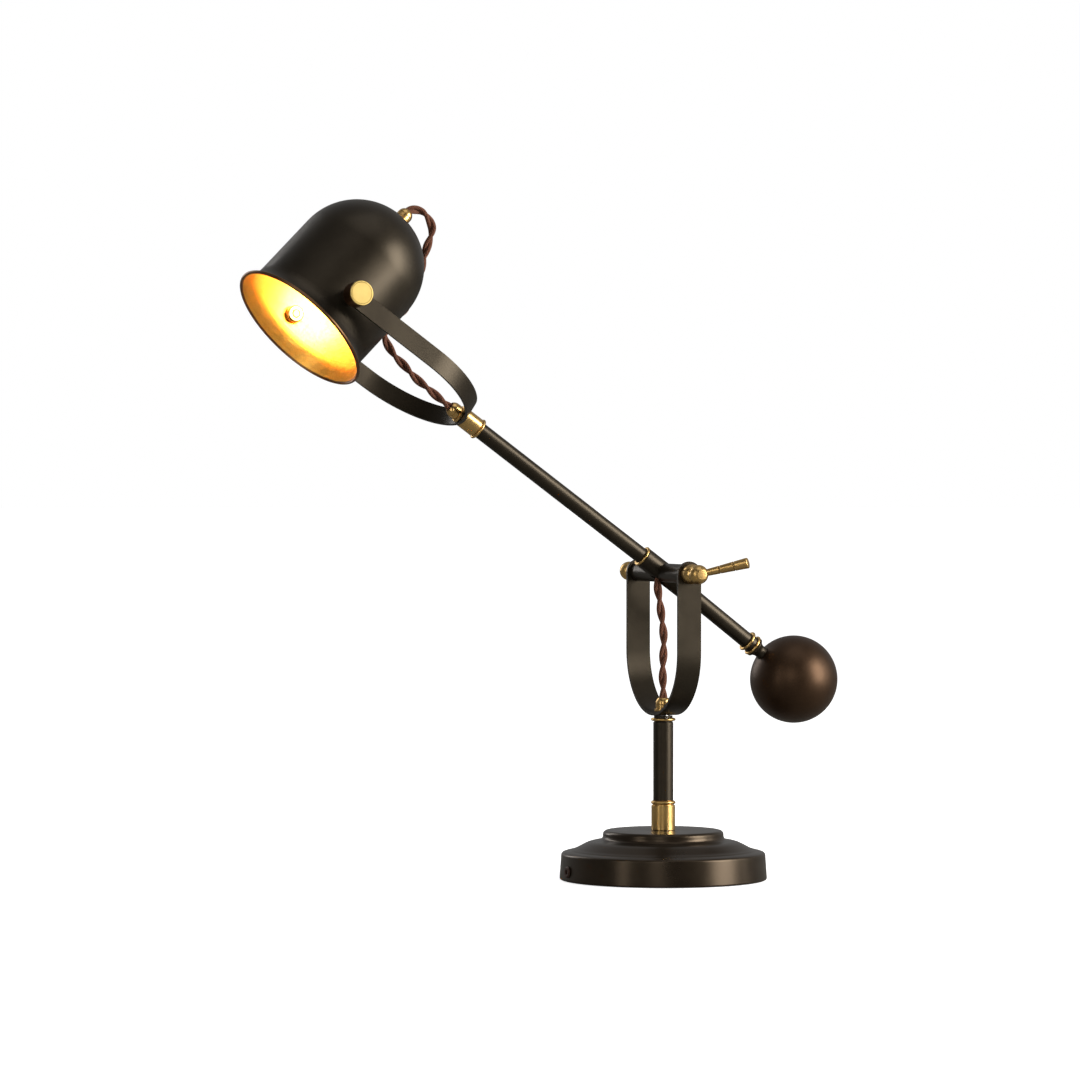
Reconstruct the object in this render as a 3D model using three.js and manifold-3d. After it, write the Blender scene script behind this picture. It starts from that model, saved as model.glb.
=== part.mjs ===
// Swing arm desk lamp: a weighted round base, a turning fork on a short stem, a counterweighted arm
// that rocks in the fork, and a domed shade that tilts in a second fork at the arm's front end.
//
// Millimetres, +Z up. The origin is the centre of the base's underside. The arm lies in the XZ plane,
// with the shade towards -X and the counterweight towards +X; the rocking axis is parallel to Y.

import * as THREE from 'three';
import { mergeVertices } from 'three/addons/utils/BufferGeometryUtils.js';
import Module from 'manifold-3d';

const wasm = await Module();
wasm.setup();

// ---------------------------------------------------------------- overall sizes
const BASE_R = 86.5;             // widest radius of the base
const BASE_WALL_TOP_R = 85.2;    // radius at the top of the base's upright wall
const BASE_WALL_H = 21.5;        // height of the upright wall
const BASE_H = 41.5;             // height of the base's flat top
const BASE_DISC_R = 50.4;        // radius of the raised top disc
const PIVOT_Z = 256.2;           // height of the arm's rocking axis
const STEM_FORK_R = 53.5;        // outer radius of the stem fork's bend, half its width
const HEAD_FORK_LEN = 153;       // from the shade's pivot to the outside of the head fork's bend
const HEAD_REACH = 374.2;        // from the rocking axis to the shade's pivot, along the arm
const TAIL_REACH = 150.8;        // from the rocking axis to the centre of the counterweight
const BALL_R = 36.9;             // counterweight
const SHADE_R = 54.7;            // outside radius of the shade's body and dome
const SHADE_RIM_R = SHADE_R + 7.4;      // outside radius of the rolled rim
const HEAD_FORK_R = SHADE_R + 13.3;     // outer radius of the head fork's bend
const SHADE_BODY_LEN = 74.9;     // from the rim's plane to the centre of the dome
const SHADE_PIVOT_IN = 27.4;     // from the rim's plane to the shade's pivot

// ---------------------------------------------------------------- resting angles, degrees
const ARM_PITCH = 35.7;          // arm above level, shade end up
const TAIL_SAG = 1.5;            // how far the rear tube droops in its socket
const HEAD_ROLL = 7;             // turn of the head fork about the arm
const SHADE_TILT = 10.4;         // shade axis away from square to the arm
const LEVER_RISE = 17;           // clamp lever above level
const LEVER_LEAN = 38;           // clamp lever outward from square to the rocking axis

// ---------------------------------------------------------------- clearances
const GAP = 0.3;                 // between neighbours that rest on each other
const SLIDE = 0.35;              // radial clearance of a pin or tube in its hole

// ---------------------------------------------------------------- stock sizes
const SHELL_T = 1.8;             // spun steel of the base
const PAD_T = 1.6;               // felt
const PAD_R = 79;
const WEIGHT_R = 76;
const WEIGHT_T = 15;
const PIPE_R = 4.8;              // threaded hollow pipe
const PIPE_WALL = 1.4;
const STEM_R = PIPE_R + 3.6;
const COLLAR_R = STEM_R + 1.55;
const COLLAR_H = 20.6;
const TUBE_WALL = 1.2;
const STEM_TOP = 131.6;
const RING_T = 2.5;              // brass ring under the fork
const RING_R = STEM_R + 1.9;
const WASHER_T = 1.5;            // dark washers above and below that ring
const WASHER_R = STEM_R - 0.6;
const STEM_STRAP_W = 20.8;
const STEM_STRAP_T = 2.5;
const HEAD_STRAP_W = 15.8;
const HEAD_STRAP_T = 2.3;
const ARM_R = PIPE_R + 1.9;
const BARREL_R = ARM_R + 1.2;            // cross barrel on the rocking axis
const SLEEVE_R = ARM_R + 2.1;            // sleeve along the arm
const SLEEVE_HALF = 22.4;
const TUBE_SEAT = 9;             // distance of each tube's inner end from the rocking axis
const STUD_R = 3.2;
const LOBE_R = STUD_R + 5;        // domed washers on the stem fork's ears
const LOBE_SKIRT = 4.6;          // straight part below each washer's dome
const LOBE_MOUTH_R = 5.2;        // where the ball sits on the dome
const KNOB_R = STUD_R + 4.8;     // balls beyond them
const KNOB_SEAT_R = 5;           // flat under each ball
const NOSE_R = 4.3;              // flat nose of each ball
const STUD_BITE = 13;            // length of each stud inside the hub
const LEVER_LEN = 35;
const LEVER_ROOT_R = 2.9;
const LEVER_END_R = 4.5;
const LEVER_TANG_R = 2.2;
const BEAD_R = ARM_R + 2.5;              // brass beads on the tubes
const BEAD_T = 2.3;
const HUB_RING_T = 2;
const FERRULE_R = ARM_R + 1.5;
const FERRULE_LEN = 17.5;
const GRIP_FLANGE_R = PIPE_R + 2.7;   // cord grips
const GRIP_FLANGE_T = 2.2;
const GRIP_R = PIPE_R + 1.6;
const GRIP_BODY = 4.4;           // straight part below each grip's dome
const CORD_R = 3.3;              // twisted pair, over both strands
const NECK_FOOT_R = 6;           // where the rear neck meets the ball
const NECK_STUD_R = 4.4;
const NECK_STUD_LEN = 12;
const SHADE_T = 1.1;
const LIP_R = 1.5;               // half thickness of the rolled rim
const FLARE_LEN = 15;            // length of the flare behind the rim
const DISC_R = 10.1;             // thumb screws on the shade's pivot
const DISC_T = 14.2;
const SPACER_R = 6.6;
const NUT_R = 7;
const NUT_T = 5;
const CAP_R = 12.6;              // screw cap of the bulb
const HOLDER_R = CAP_R + 3.9;    // lampholder
const HOLDER_LEN = 34;
const CAP_LEN = 17;
const BULB_R = 24;
const GLASS_T = 0.8;
const BULB_DROP = 29;            // from the cap's foot to the centre of the bulb
const LOCK_NUT_R = PIPE_R + 4.6; // over the corners of the pipe's lock nuts
const LOCK_NUT_T = 4;
const BASE_WASHER_R = 12;        // under the weight
const BASE_WASHER_T = 1.4;
const SPREADER_R = 22;           // plate under the base's flat top
const SPREADER_T = 2.5;
const GLAND_Z = 9;               // height of the mains cord's bushing
const GLAND_R = 3.6;
const GLAND_FLANGE_R = 4.9;

// ---------------------------------------------------------------- facet counts
const SEG_BIG = 32;
const SEG_MID = 16;
const SEG_SMALL = 12;
const SEG_BEND = 16;
const CORD_SIDES = 8;
const CORD_STEP = 8;             // length of one step along a cord
const DOME_ROWS = 6;
const GRIP_ROWS = 3;
const LOBE_ROWS = 4;
const KNOB_ROWS = 6;
const BALL_ROWS = 12;
const BALL_SEG = 24;

const rad = THREE.MathUtils.degToRad;

// ---------------------------------------------------------------- finishes
const paint = (color, roughness, metalness) => () =>
  new THREE.MeshStandardMaterial({ color, roughness, metalness });
const bronze = paint(0x3a322a, 0.42, 0.75);
const ballBronze = paint(0x452f20, 0.45, 0.7);
const brass = paint(0xc09a4e, 0.33, 1);
const steel = paint(0x8d8f92, 0.4, 1);
const iron = paint(0x3b3b3d, 0.7, 0.6);
const felt = paint(0x23211f, 0.95, 0);
const rubber = paint(0x3a2418, 0.7, 0);
const ceramic = paint(0xe8e2d6, 0.35, 0);
const glass = paint(0xfff2d0, 0.1, 0);
const fabric = paint(0x6e3a24, 0.9, 0);

// ---------------------------------------------------------------- helpers
const root = new THREE.Group();

/** Name a shape, give it a finish and hang it in a group. */
function add(group, name, geometry, finish) {
  const mesh = new THREE.Mesh(geometry, finish());
  mesh.name = name;
  group.add(mesh);
  return mesh;
}

/** A group at a place, turned about one axis. */
function frameAt(parent, position, turn = {}) {
  const group = new THREE.Group();
  group.position.set(...position);
  group.rotation.set(turn.x ?? 0, turn.y ?? 0, turn.z ?? 0);
  parent.add(group);
  return group;
}

/** Turned shape about Z from [radius, height] pairs. A profile that leaves the axis closes on itself. */
function turned(profile, segments = SEG_MID) {
  const points = profile.map(([r, z]) => new THREE.Vector2(r, z));
  const first = points[0];
  const last = points[points.length - 1];
  if (first.x > 0 || last.x > 0) {
    points.push(first.clone());
  }
  const lathe = new THREE.LatheGeometry(points, segments);
  lathe.rotateX(Math.PI / 2);
  return outward(lathe);
}

/** Signed volume of a closed mesh, positive when its faces point out. */
function signedVolume(geometry) {
  const flat = geometry.index ? geometry.toNonIndexed() : geometry;
  const p = flat.attributes.position;
  const a = new THREE.Vector3();
  const b = new THREE.Vector3();
  const c = new THREE.Vector3();
  let sum = 0;
  for (let i = 0; i < p.count; i += 3) {
    a.fromBufferAttribute(p, i);
    b.fromBufferAttribute(p, i + 1);
    c.fromBufferAttribute(p, i + 2);
    sum += a.dot(b.cross(c));
  }
  return sum;
}

/** Merge shared vertices, drop flat triangles and turn the faces outward. */
function outward(geometry) {
  geometry.deleteAttribute('normal');
  geometry.deleteAttribute('uv');
  const merged = mergeVertices(geometry, 1e-4);
  const index = merged.index.array;
  const kept = [];
  for (let i = 0; i < index.length; i += 3) {
    const [a, b, c] = [index[i], index[i + 1], index[i + 2]];
    if (a !== b && b !== c && c !== a) {
      kept.push(a, b, c);
    }
  }
  merged.setIndex(kept);
  if (signedVolume(merged) < 0) {
    const flipped = [];
    for (let i = 0; i < kept.length; i += 3) {
      flipped.push(kept[i], kept[i + 2], kept[i + 1]);
    }
    merged.setIndex(flipped);
  }
  return merged;
}

/** A closed geometry as a solid for cutting and joining. */
function solid(geometry) {
  const merged = outward(geometry.clone());
  return new wasm.Manifold(new wasm.Mesh({
    numProp: 3,
    vertProperties: new Float32Array(merged.attributes.position.array),
    triVerts: new Uint32Array(merged.index.array),
  }));
}

/** A solid back as a geometry. */
function shape(body) {
  const mesh = body.getMesh();
  const geometry = new THREE.BufferGeometry();
  geometry.setAttribute('position', new THREE.BufferAttribute(new Float32Array(mesh.vertProperties), 3));
  geometry.setIndex(new THREE.BufferAttribute(new Uint32Array(mesh.triVerts), 1));
  return geometry;
}

/** Take several closed shapes away from another. */
function cut(geometry, ...tools) {
  return shape(tools.reduce((left, tool) => left.subtract(solid(tool)), solid(geometry)));
}

/** A rod between two heights about an axis: 'x', 'y' or 'z'. */
function rod(radius, from, to, axis = 'z', segments = SEG_SMALL) {
  const geometry = new THREE.CylinderGeometry(radius, radius, to - from, segments);
  geometry.translate(0, (from + to) / 2, 0);
  return aim(geometry.rotateX(Math.PI / 2), axis);
}

/** Turn a shape made about Z so that its Z runs along another axis. */
function aim(geometry, axis) {
  if (axis === 'x') {
    geometry.rotateY(Math.PI / 2);
  }
  if (axis === 'y') {
    geometry.rotateX(-Math.PI / 2);
  }
  if (axis === '-x') {
    geometry.rotateY(-Math.PI / 2);
  }
  if (axis === '-y') {
    geometry.rotateX(Math.PI / 2);
  }
  return geometry;
}

/** A tube between two heights. */
function pipe(outer, inner, from, to, segments = SEG_SMALL) {
  return turned([[inner, from], [outer, from], [outer, to], [inner, to]], segments);
}

/** A hexagonal nut on the threaded pipe, between two heights. */
function hexNut(corner, from, to) {
  return cut(rod(corner, from, to, 'z', 6), rod(PIPE_R + SLIDE, from - 1, to + 1));
}

/** A ring with a half-round outer edge. */
function beadRing(outer, inner, from, thickness) {
  const mid = from + thickness / 2;
  const bulge = thickness * 0.4;
  return turned([
    [inner, from],
    [outer - bulge, from],
    [outer, mid - bulge * 0.45],
    [outer, mid + bulge * 0.45],
    [outer - bulge, from + thickness],
    [inner, from + thickness],
  ], SEG_MID);
}

/** Domed cord grip standing on z = 0, bored for the cord, with a wider seat for the pipe below. */
function cordGrip() {
  const neck = GRIP_FLANGE_T + 0.7;
  const shoulder = GRIP_FLANGE_T + GRIP_BODY;
  const bore = CORD_R + 2 * SLIDE;
  const seat = PIPE_R + SLIDE;
  const profile = [
    [seat, 0],
    [GRIP_FLANGE_R - 0.4, 0],
    [GRIP_FLANGE_R, 0.5],
    [GRIP_FLANGE_R, GRIP_FLANGE_T - 0.5],
    [GRIP_FLANGE_R - 0.5, GRIP_FLANGE_T],
    [GRIP_R - 0.5, GRIP_FLANGE_T],
    [GRIP_R - 0.5, neck],
    [GRIP_R, neck],
    [GRIP_R, shoulder],
  ];
  const stop = Math.acos((bore + 0.4) / GRIP_R);
  for (let i = 1; i <= GRIP_ROWS; i += 1) {
    const a = stop * i / GRIP_ROWS;
    profile.push([GRIP_R * Math.cos(a), shoulder + GRIP_R * Math.sin(a)]);
  }
  const top = shoulder + GRIP_R * Math.sin(stop);
  profile.push([bore, top - 0.4], [bore, PIPE_SEAT], [seat, PIPE_SEAT]);
  return turned(profile, SEG_SMALL);
}
const PIPE_SEAT = GRIP_FLANGE_T + 1.6;
const GRIP_TOP = GRIP_FLANGE_T + GRIP_BODY + GRIP_R * 0.75;

/**
 * U-shaped strap fork, bent flat strip. It stands in YZ with its bend down at z = 0 and its ears up,
 * drilled across both ears and through the middle of the bend.
 */
function fork({ radius, width, thickness, pivotUp, earBore, bendBore }) {
  const inner = radius - thickness;
  const earTop = pivotUp + width / 2;
  const outline = new THREE.Shape();
  outline.moveTo(-radius, earTop);
  for (let i = 0; i <= SEG_BEND; i += 1) {
    const a = Math.PI * i / SEG_BEND;
    outline.lineTo(-radius * Math.cos(a), radius - radius * Math.sin(a));
  }
  outline.lineTo(radius, earTop);
  outline.lineTo(inner, earTop);
  for (let i = SEG_BEND; i >= 0; i -= 1) {
    const a = Math.PI * i / SEG_BEND;
    outline.lineTo(-inner * Math.cos(a), radius - inner * Math.sin(a));
  }
  outline.lineTo(-inner, earTop);
  const strip = new THREE.ExtrudeGeometry(outline, { depth: width, bevelEnabled: false });
  strip.translate(0, 0, -width / 2);
  strip.rotateX(Math.PI / 2);
  strip.rotateZ(Math.PI / 2);

  const half = width / 2;
  const side = new THREE.Shape();
  side.moveTo(-half, -1);
  side.lineTo(half, -1);
  side.lineTo(half, pivotUp);
  side.absarc(0, pivotUp, half, 0, Math.PI, false);
  side.lineTo(-half, -1);
  const profile = new THREE.ExtrudeGeometry(side, {
    depth: 2 * radius + 2, bevelEnabled: false, curveSegments: SEG_SMALL / 2,
  });
  profile.translate(0, 0, -radius - 1);
  profile.rotateX(Math.PI / 2);

  return shape(solid(strip)
    .intersect(solid(profile))
    .subtract(solid(rod(earBore, -radius - 1, radius + 1, 'y').translate(0, 0, pivotUp)))
    .subtract(solid(rod(bendBore, -1, thickness * 3))));
}

/** Round cord swept through points given in the group's own frame. */
function cord(points) {
  const path = new THREE.CatmullRomCurve3(points, false, 'centripetal');
  const steps = Math.ceil(path.getLength() / CORD_STEP);
  const section = new THREE.Shape();
  for (let i = 0; i < CORD_SIDES; i += 1) {
    const a = 2 * Math.PI * i / CORD_SIDES;
    const [x, y] = [CORD_R * Math.cos(a), CORD_R * Math.sin(a)];
    if (i === 0) {
      section.moveTo(x, y);
    } else {
      section.lineTo(x, y);
    }
  }
  section.closePath();
  return outward(new THREE.ExtrudeGeometry(section, { steps, extrudePath: path, bevelEnabled: false }));
}

// ================================================================ base
const base = frameAt(root, [0, 0, 0]);

const padTop = PAD_T;
const shellFoot = padTop - 1.1;
const wallIn = SHELL_T;
const discTopRound = 3.2;

/** Outer side of the base from its foot to the flat top. */
const baseOutside = [
  [BASE_R - 1.3, shellFoot],
  [BASE_R, shellFoot + 1.3],
  [BASE_WALL_TOP_R, BASE_WALL_H - 1],
  [BASE_WALL_TOP_R - 0.7, BASE_WALL_H + 0.7],
  [BASE_WALL_TOP_R - 2.4, BASE_WALL_H + 2],
  [BASE_WALL_TOP_R - 6.8, BASE_WALL_H + 3.1],
  [BASE_WALL_TOP_R - 11.6, BASE_WALL_H + 4.6],
  [BASE_WALL_TOP_R - 16.8, BASE_WALL_H + 7.4],
  [BASE_WALL_TOP_R - 21.5, BASE_WALL_H + 9.7],
  [BASE_WALL_TOP_R - 28.5, BASE_WALL_H + 11.2],
  [BASE_DISC_R + 2.2, BASE_WALL_H + 12],
  [BASE_DISC_R + 0.4, BASE_WALL_H + 13.6],
  [BASE_DISC_R, BASE_H - discTopRound - 0.8],
  [BASE_DISC_R - 0.8, BASE_H - discTopRound * 0.55],
  [BASE_DISC_R - 2.8, BASE_H - 0.5],
  [BASE_DISC_R - 5.5, BASE_H],
];

/** Inner side, a wall's thickness in, simplified. */
const baseInside = [
  [BASE_DISC_R - 5.5, BASE_H - wallIn],
  [BASE_DISC_R - 1.8, BASE_WALL_H + 11.2],
  [BASE_WALL_TOP_R - 21.5, BASE_WALL_H + 7.4],
  [BASE_WALL_TOP_R - 12.4, BASE_WALL_H + 2.4],
  [BASE_WALL_TOP_R - wallIn, BASE_WALL_H - 1],
  [BASE_R - wallIn, shellFoot],
];

const shellProfile = [
  ...baseOutside,
  [PIPE_R + SLIDE, BASE_H],
  [PIPE_R + SLIDE, BASE_H - wallIn],
  ...baseInside,
];
add(base, 'base_shell', cut(
  turned(shellProfile, SEG_BIG),
  rod(GLAND_R + GAP, -BASE_R - 2, -BASE_R + 8, 'x').translate(0, 0, GLAND_Z),
), bronze);

add(base, 'base_felt_pad', turned([[0, 0], [PAD_R, 0], [PAD_R, padTop], [0, padTop]], SEG_BIG), felt);

const weightFoot = padTop + GAP;
const weightTop = weightFoot + WEIGHT_T;
const pocketR = 15;
const pocketTop = weightFoot + 9;
const channelW = 9;
add(base, 'base_weight', cut(
  turned([
    [pocketR, weightFoot],
    [WEIGHT_R - 1, weightFoot],
    [WEIGHT_R, weightFoot + 1],
    [WEIGHT_R, weightTop - 2],
    [WEIGHT_R - 2, weightTop],
    [PIPE_R + SLIDE, weightTop],
    [PIPE_R + SLIDE, pocketTop],
    [pocketR, pocketTop],
  ], SEG_BIG),
  new THREE.BoxGeometry(WEIGHT_R, channelW, GLAND_Z + GLAND_R)
    .translate(-WEIGHT_R / 2 - pocketR / 2, 0, (GLAND_Z + GLAND_R) / 2 + weightFoot - 2),
), iron);

const washerBottom = pocketTop - GAP - BASE_WASHER_T;
add(base, 'base_washer', pipe(BASE_WASHER_R, PIPE_R + SLIDE, washerBottom, pocketTop - GAP), steel);
const nutTop = washerBottom - GAP;
add(base, 'base_nut', hexNut(LOCK_NUT_R, nutTop - LOCK_NUT_T, nutTop), steel);

const spreaderTop = BASE_H - wallIn - GAP;
const spreaderFoot = spreaderTop - SPREADER_T;
add(base, 'base_spreader', pipe(SPREADER_R, PIPE_R + SLIDE, spreaderFoot, spreaderTop, SEG_MID), steel);
const spacerTop = spreaderFoot - GAP;
add(base, 'base_spacer_tube', pipe(PIPE_R + 2.2, PIPE_R + SLIDE, weightTop + GAP, spacerTop), steel);

// the mains cord leaves through this bushing
const wallAtGland = BASE_R - 0.5;
add(base, 'cord_gland', aim(turned([
  [GLAND_R - 1.4, -4],
  [GLAND_FLANGE_R - 0.3, -4],
  [GLAND_FLANGE_R - 0.3, -SHELL_T - 3 * GAP],
  [GLAND_R, -SHELL_T - 3 * GAP],
  [GLAND_R, GAP],
  [GLAND_FLANGE_R, GAP],
  [GLAND_FLANGE_R, 1],
  [GLAND_R + 0.4, 1.9],
  [GLAND_R - 1.4, 1.9],
], SEG_SMALL), '-x').translate(-wallAtGland, 0, GLAND_Z), rubber);

// ---------------------------------------------------------------- stem
const collarFoot = BASE_H + GAP;
const collarTop = collarFoot + COLLAR_H + 3.9;
const socketFloor = collarFoot + 9;
add(base, 'stem_collar', turned([
  [PIPE_R + SLIDE, collarFoot],
  [COLLAR_R, collarFoot],
  [COLLAR_R, collarFoot + COLLAR_H - 0.4],
  [COLLAR_R - 0.4, collarFoot + COLLAR_H],
  [COLLAR_R - 1.1, collarFoot + COLLAR_H],
  [COLLAR_R - 1.1, collarFoot + COLLAR_H + 1],
  [RING_R - 0.5, collarFoot + COLLAR_H + 1.1],
  [RING_R, collarFoot + COLLAR_H + 1.9],
  [RING_R, collarTop - 1],
  [RING_R - 0.6, collarTop - 0.2],
  [RING_R - 1.2, collarTop],
  [STEM_R + SLIDE, collarTop],
  [STEM_R + SLIDE, socketFloor],
  [PIPE_R + SLIDE, socketFloor],
], SEG_MID), brass);

add(base, 'stem_tube', pipe(STEM_R, STEM_R - TUBE_WALL, socketFloor + GAP, STEM_TOP, SEG_MID), bronze);

const plugR = STEM_R - TUBE_WALL - SLIDE;
const plugFlangeTop = STEM_TOP + GAP + 0.5;
add(base, 'stem_plug', turned([
  [PIPE_R + SLIDE, STEM_TOP - 12],
  [plugR, STEM_TOP - 12],
  [plugR, STEM_TOP + GAP],
  [WASHER_R, STEM_TOP + GAP],
  [WASHER_R, plugFlangeTop],
  [PIPE_R + SLIDE, plugFlangeTop],
], SEG_MID), bronze);

const ringFoot = plugFlangeTop + GAP;
add(base, 'stem_ring', beadRing(RING_R, PIPE_R + SLIDE, ringFoot, RING_T), brass);
const washerFoot = ringFoot + RING_T + GAP;
add(base, 'stem_washer', pipe(WASHER_R, PIPE_R + SLIDE, washerFoot, washerFoot + WASHER_T, SEG_MID), bronze);

const stemForkFoot = washerFoot + WASHER_T + GAP;
/** How far a round foot of this radius must stand off the floor of a bend. */
const bendRise = (bendR, footR) => bendR - Math.sqrt(bendR * bendR - footR * footR);
const stemForkIn = STEM_FORK_R - STEM_STRAP_T;
const stemGripFoot = stemForkFoot + STEM_STRAP_T + bendRise(stemForkIn, GRIP_FLANGE_R) + GAP;
add(base, 'stem_pipe', pipe(PIPE_R, PIPE_R - PIPE_WALL, nutTop - 5.4, stemGripFoot + PIPE_SEAT - GAP), steel);
add(base, 'stem_cord_grip', cordGrip().translate(0, 0, stemGripFoot), brass);

// ================================================================ stem fork, turns on the stem
const stemFork = frameAt(root, [0, 0, stemForkFoot]);
const pivotUp = PIVOT_Z - stemForkFoot;
add(stemFork, 'stem_fork', fork({
  radius: STEM_FORK_R,
  width: STEM_STRAP_W,
  thickness: STEM_STRAP_T,
  pivotUp,
  earBore: STUD_R + SLIDE,
  bendBore: PIPE_R + SLIDE,
}), bronze);

const lobeLid = Math.acos(LOBE_MOUTH_R / LOBE_R);
const lobeTop = LOBE_SKIRT + LOBE_R * Math.sin(lobeLid);
/** Domed washer on an ear, flat on z = 0. */
function lobe() {
  const bore = STUD_R + SLIDE;
  const profile = [[bore, 0], [LOBE_R - 0.2, 0], [LOBE_R, 0.2]];
  for (let i = 0; i <= LOBE_ROWS; i += 1) {
    const a = lobeLid * i / LOBE_ROWS;
    profile.push([LOBE_R * Math.cos(a), LOBE_SKIRT + LOBE_R * Math.sin(a)]);
  }
  profile.push([bore, lobeTop]);
  return turned(profile, SEG_MID);
}

/** Ball knob above the lobe, with a flat nose and a stud reaching back through the ear. */
function ballKnob(studLen) {
  const centre = lobeTop + GAP + Math.sqrt(KNOB_R * KNOB_R - KNOB_SEAT_R * KNOB_SEAT_R);
  const low = -Math.acos(KNOB_SEAT_R / KNOB_R);
  const high = Math.acos(NOSE_R / KNOB_R);
  const profile = [[0, -studLen], [STUD_R, -studLen], [STUD_R, lobeTop + GAP]];
  for (let i = 0; i <= KNOB_ROWS; i += 1) {
    const a = low + (high - low) * i / KNOB_ROWS;
    profile.push([KNOB_R * Math.cos(a), centre + KNOB_R * Math.sin(a)]);
  }
  const nose = centre + KNOB_R * Math.sin(high) + 0.5;
  profile.push([NOSE_R - 0.3, nose], [0, nose]);
  return { geometry: turned(profile, SEG_MID), centre };
}

const earFace = STEM_FORK_R + GAP;
const studReach = STEM_STRAP_T + 2 * GAP + STUD_BITE;
for (const [side, name] of [[1, 'far'], [-1, 'near']]) {
  const axis = side > 0 ? 'y' : '-y';
  add(stemFork, `pivot_lobe_${name}`, aim(lobe(), axis).translate(0, side * earFace, pivotUp), brass);
}
const knob = ballKnob(studReach);
add(stemFork, 'pivot_cap', aim(knob.geometry.clone(), 'y').translate(0, earFace, pivotUp), brass);

// clamp knob and its lever turn together on the near side
const clamp = frameAt(stemFork, [0, -earFace, pivotUp], { y: -rad(LEVER_RISE) });
const leverDir = new THREE.Vector3(Math.cos(rad(LEVER_LEAN)), -Math.sin(rad(LEVER_LEAN)), 0);
const tangRoot = 3;              // inner end of the lever's socket, from the knob's centre
const leverSeat = KNOB_R + 0.1;
const knobCentre = new THREE.Vector3(0, -knob.centre, 0);

/** Place a shape made along Z so that it runs along the lever, starting at the knob's centre. */
function alongLever(geometry) {
  const turn = new THREE.Quaternion().setFromUnitVectors(new THREE.Vector3(0, 0, 1), leverDir);
  return geometry.applyQuaternion(turn).translate(knobCentre.x, knobCentre.y, knobCentre.z);
}
add(clamp, 'clamp_knob', cut(
  aim(knob.geometry.clone(), '-y'),
  alongLever(rod(LEVER_TANG_R + GAP, tangRoot, KNOB_R + 6)),
), brass);

const grooveAt = [0.3, 0.66];
const grooveHalf = 0.7;
const leverProfile = [
  [0, tangRoot + GAP],
  [LEVER_TANG_R, tangRoot + GAP],
  [LEVER_TANG_R, leverSeat],
  [LEVER_ROOT_R, leverSeat],
];
for (const share of grooveAt) {
  const z = leverSeat + LEVER_LEN * share;
  const r = LEVER_ROOT_R + (LEVER_END_R - LEVER_ROOT_R) * share;
  leverProfile.push([r, z - grooveHalf], [r - 0.5, z - grooveHalf * 0.6]);
  leverProfile.push([r - 0.5, z + grooveHalf * 0.6], [r, z + grooveHalf]);
}
const leverTip = leverSeat + LEVER_LEN;
leverProfile.push([LEVER_END_R, leverTip - 0.7], [LEVER_END_R - 0.7, leverTip], [0, leverTip]);
add(clamp, 'clamp_lever', alongLever(turned(leverProfile, SEG_SMALL)), brass);

// ================================================================ arm, rocks in the stem fork
const arm = frameAt(root, [0, 0, PIVOT_Z], { y: rad(ARM_PITCH) });
const barrelHalf = stemForkIn - GAP;
const tubeBore = ARM_R + SLIDE + 0.1;
const cordHole = CORD_R + 0.9;
const cordSlot = 2;              // the cord's hole is a slot along the arm, longer than wide by this
const crossBody = solid(rod(BARREL_R, -barrelHalf, barrelHalf, 'y', SEG_MID))
  .add(solid(rod(SLEEVE_R, -SLEEVE_HALF, SLEEVE_HALF, 'x', SEG_MID)));
const studHole = STUD_R + SLIDE;
add(arm, 'arm_hub', shape(crossBody
  .subtract(solid(rod(tubeBore, -SLEEVE_HALF - 1, SLEEVE_HALF + 1, 'x', SEG_MID)))
  .subtract(solid(rod(studHole, -barrelHalf - 1, barrelHalf + 1, 'y')))
  .subtract(solid(rod(cordHole, -SLEEVE_R - 1, 0).scale(cordSlot, 1, 1)))), bronze);

const sleeveRingR = SLEEVE_R + 0.4;
const hubRing = (bore, way) => aim(beadRing(sleeveRingR, bore, SLEEVE_HALF + GAP, HUB_RING_T), way);
add(arm, 'hub_ring_front', hubRing(ARM_R + SLIDE, '-x'), brass);
add(arm, 'hub_ring_rear', hubRing(ARM_R + 2 * SLIDE, 'x'), brass);

const forkSeat = HEAD_REACH - HEAD_FORK_LEN;
const ferruleFront = forkSeat - GAP;
const ferruleFoot = ferruleFront - FERRULE_LEN;
const tubeEnd = ferruleFront - 6;
add(arm, 'arm_tube_front', aim(pipe(ARM_R, ARM_R - TUBE_WALL, TUBE_SEAT, tubeEnd, SEG_MID), '-x'), bronze);

const headPipeIn = tubeEnd - 14;
add(arm, 'arm_ferrule', aim(turned([
  [ARM_R + SLIDE, ferruleFoot],
  [BEAD_R - 0.6, ferruleFoot],
  [BEAD_R - 0.1, ferruleFoot + 0.6],
  [BEAD_R, ferruleFoot + 1.2],
  [BEAD_R - 0.1, ferruleFoot + 1.8],
  [BEAD_R - 0.6, ferruleFoot + 2.3],
  [FERRULE_R - 0.7, ferruleFoot + 2.4],
  [FERRULE_R - 0.7, ferruleFoot + 3.1],
  [FERRULE_R, ferruleFoot + 3.2],
  [FERRULE_R, ferruleFront - 0.4],
  [FERRULE_R - 0.4, ferruleFront],
  [PIPE_R + SLIDE, ferruleFront],
  [PIPE_R + SLIDE, tubeEnd + GAP],
  [ARM_R + SLIDE, tubeEnd + GAP],
], SEG_MID), '-x'), brass);

const headForkIn = HEAD_FORK_R - HEAD_STRAP_T;
const headGripFoot = forkSeat + HEAD_STRAP_T + bendRise(headForkIn, GRIP_FLANGE_R) + GAP;
const headPipe = pipe(PIPE_R, PIPE_R - PIPE_WALL, headPipeIn, headGripFoot + PIPE_SEAT - GAP);
add(arm, 'head_pipe', aim(headPipe, '-x'), steel);
add(arm, 'head_cord_grip', aim(cordGrip().translate(0, 0, headGripFoot), '-x'), brass);

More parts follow.
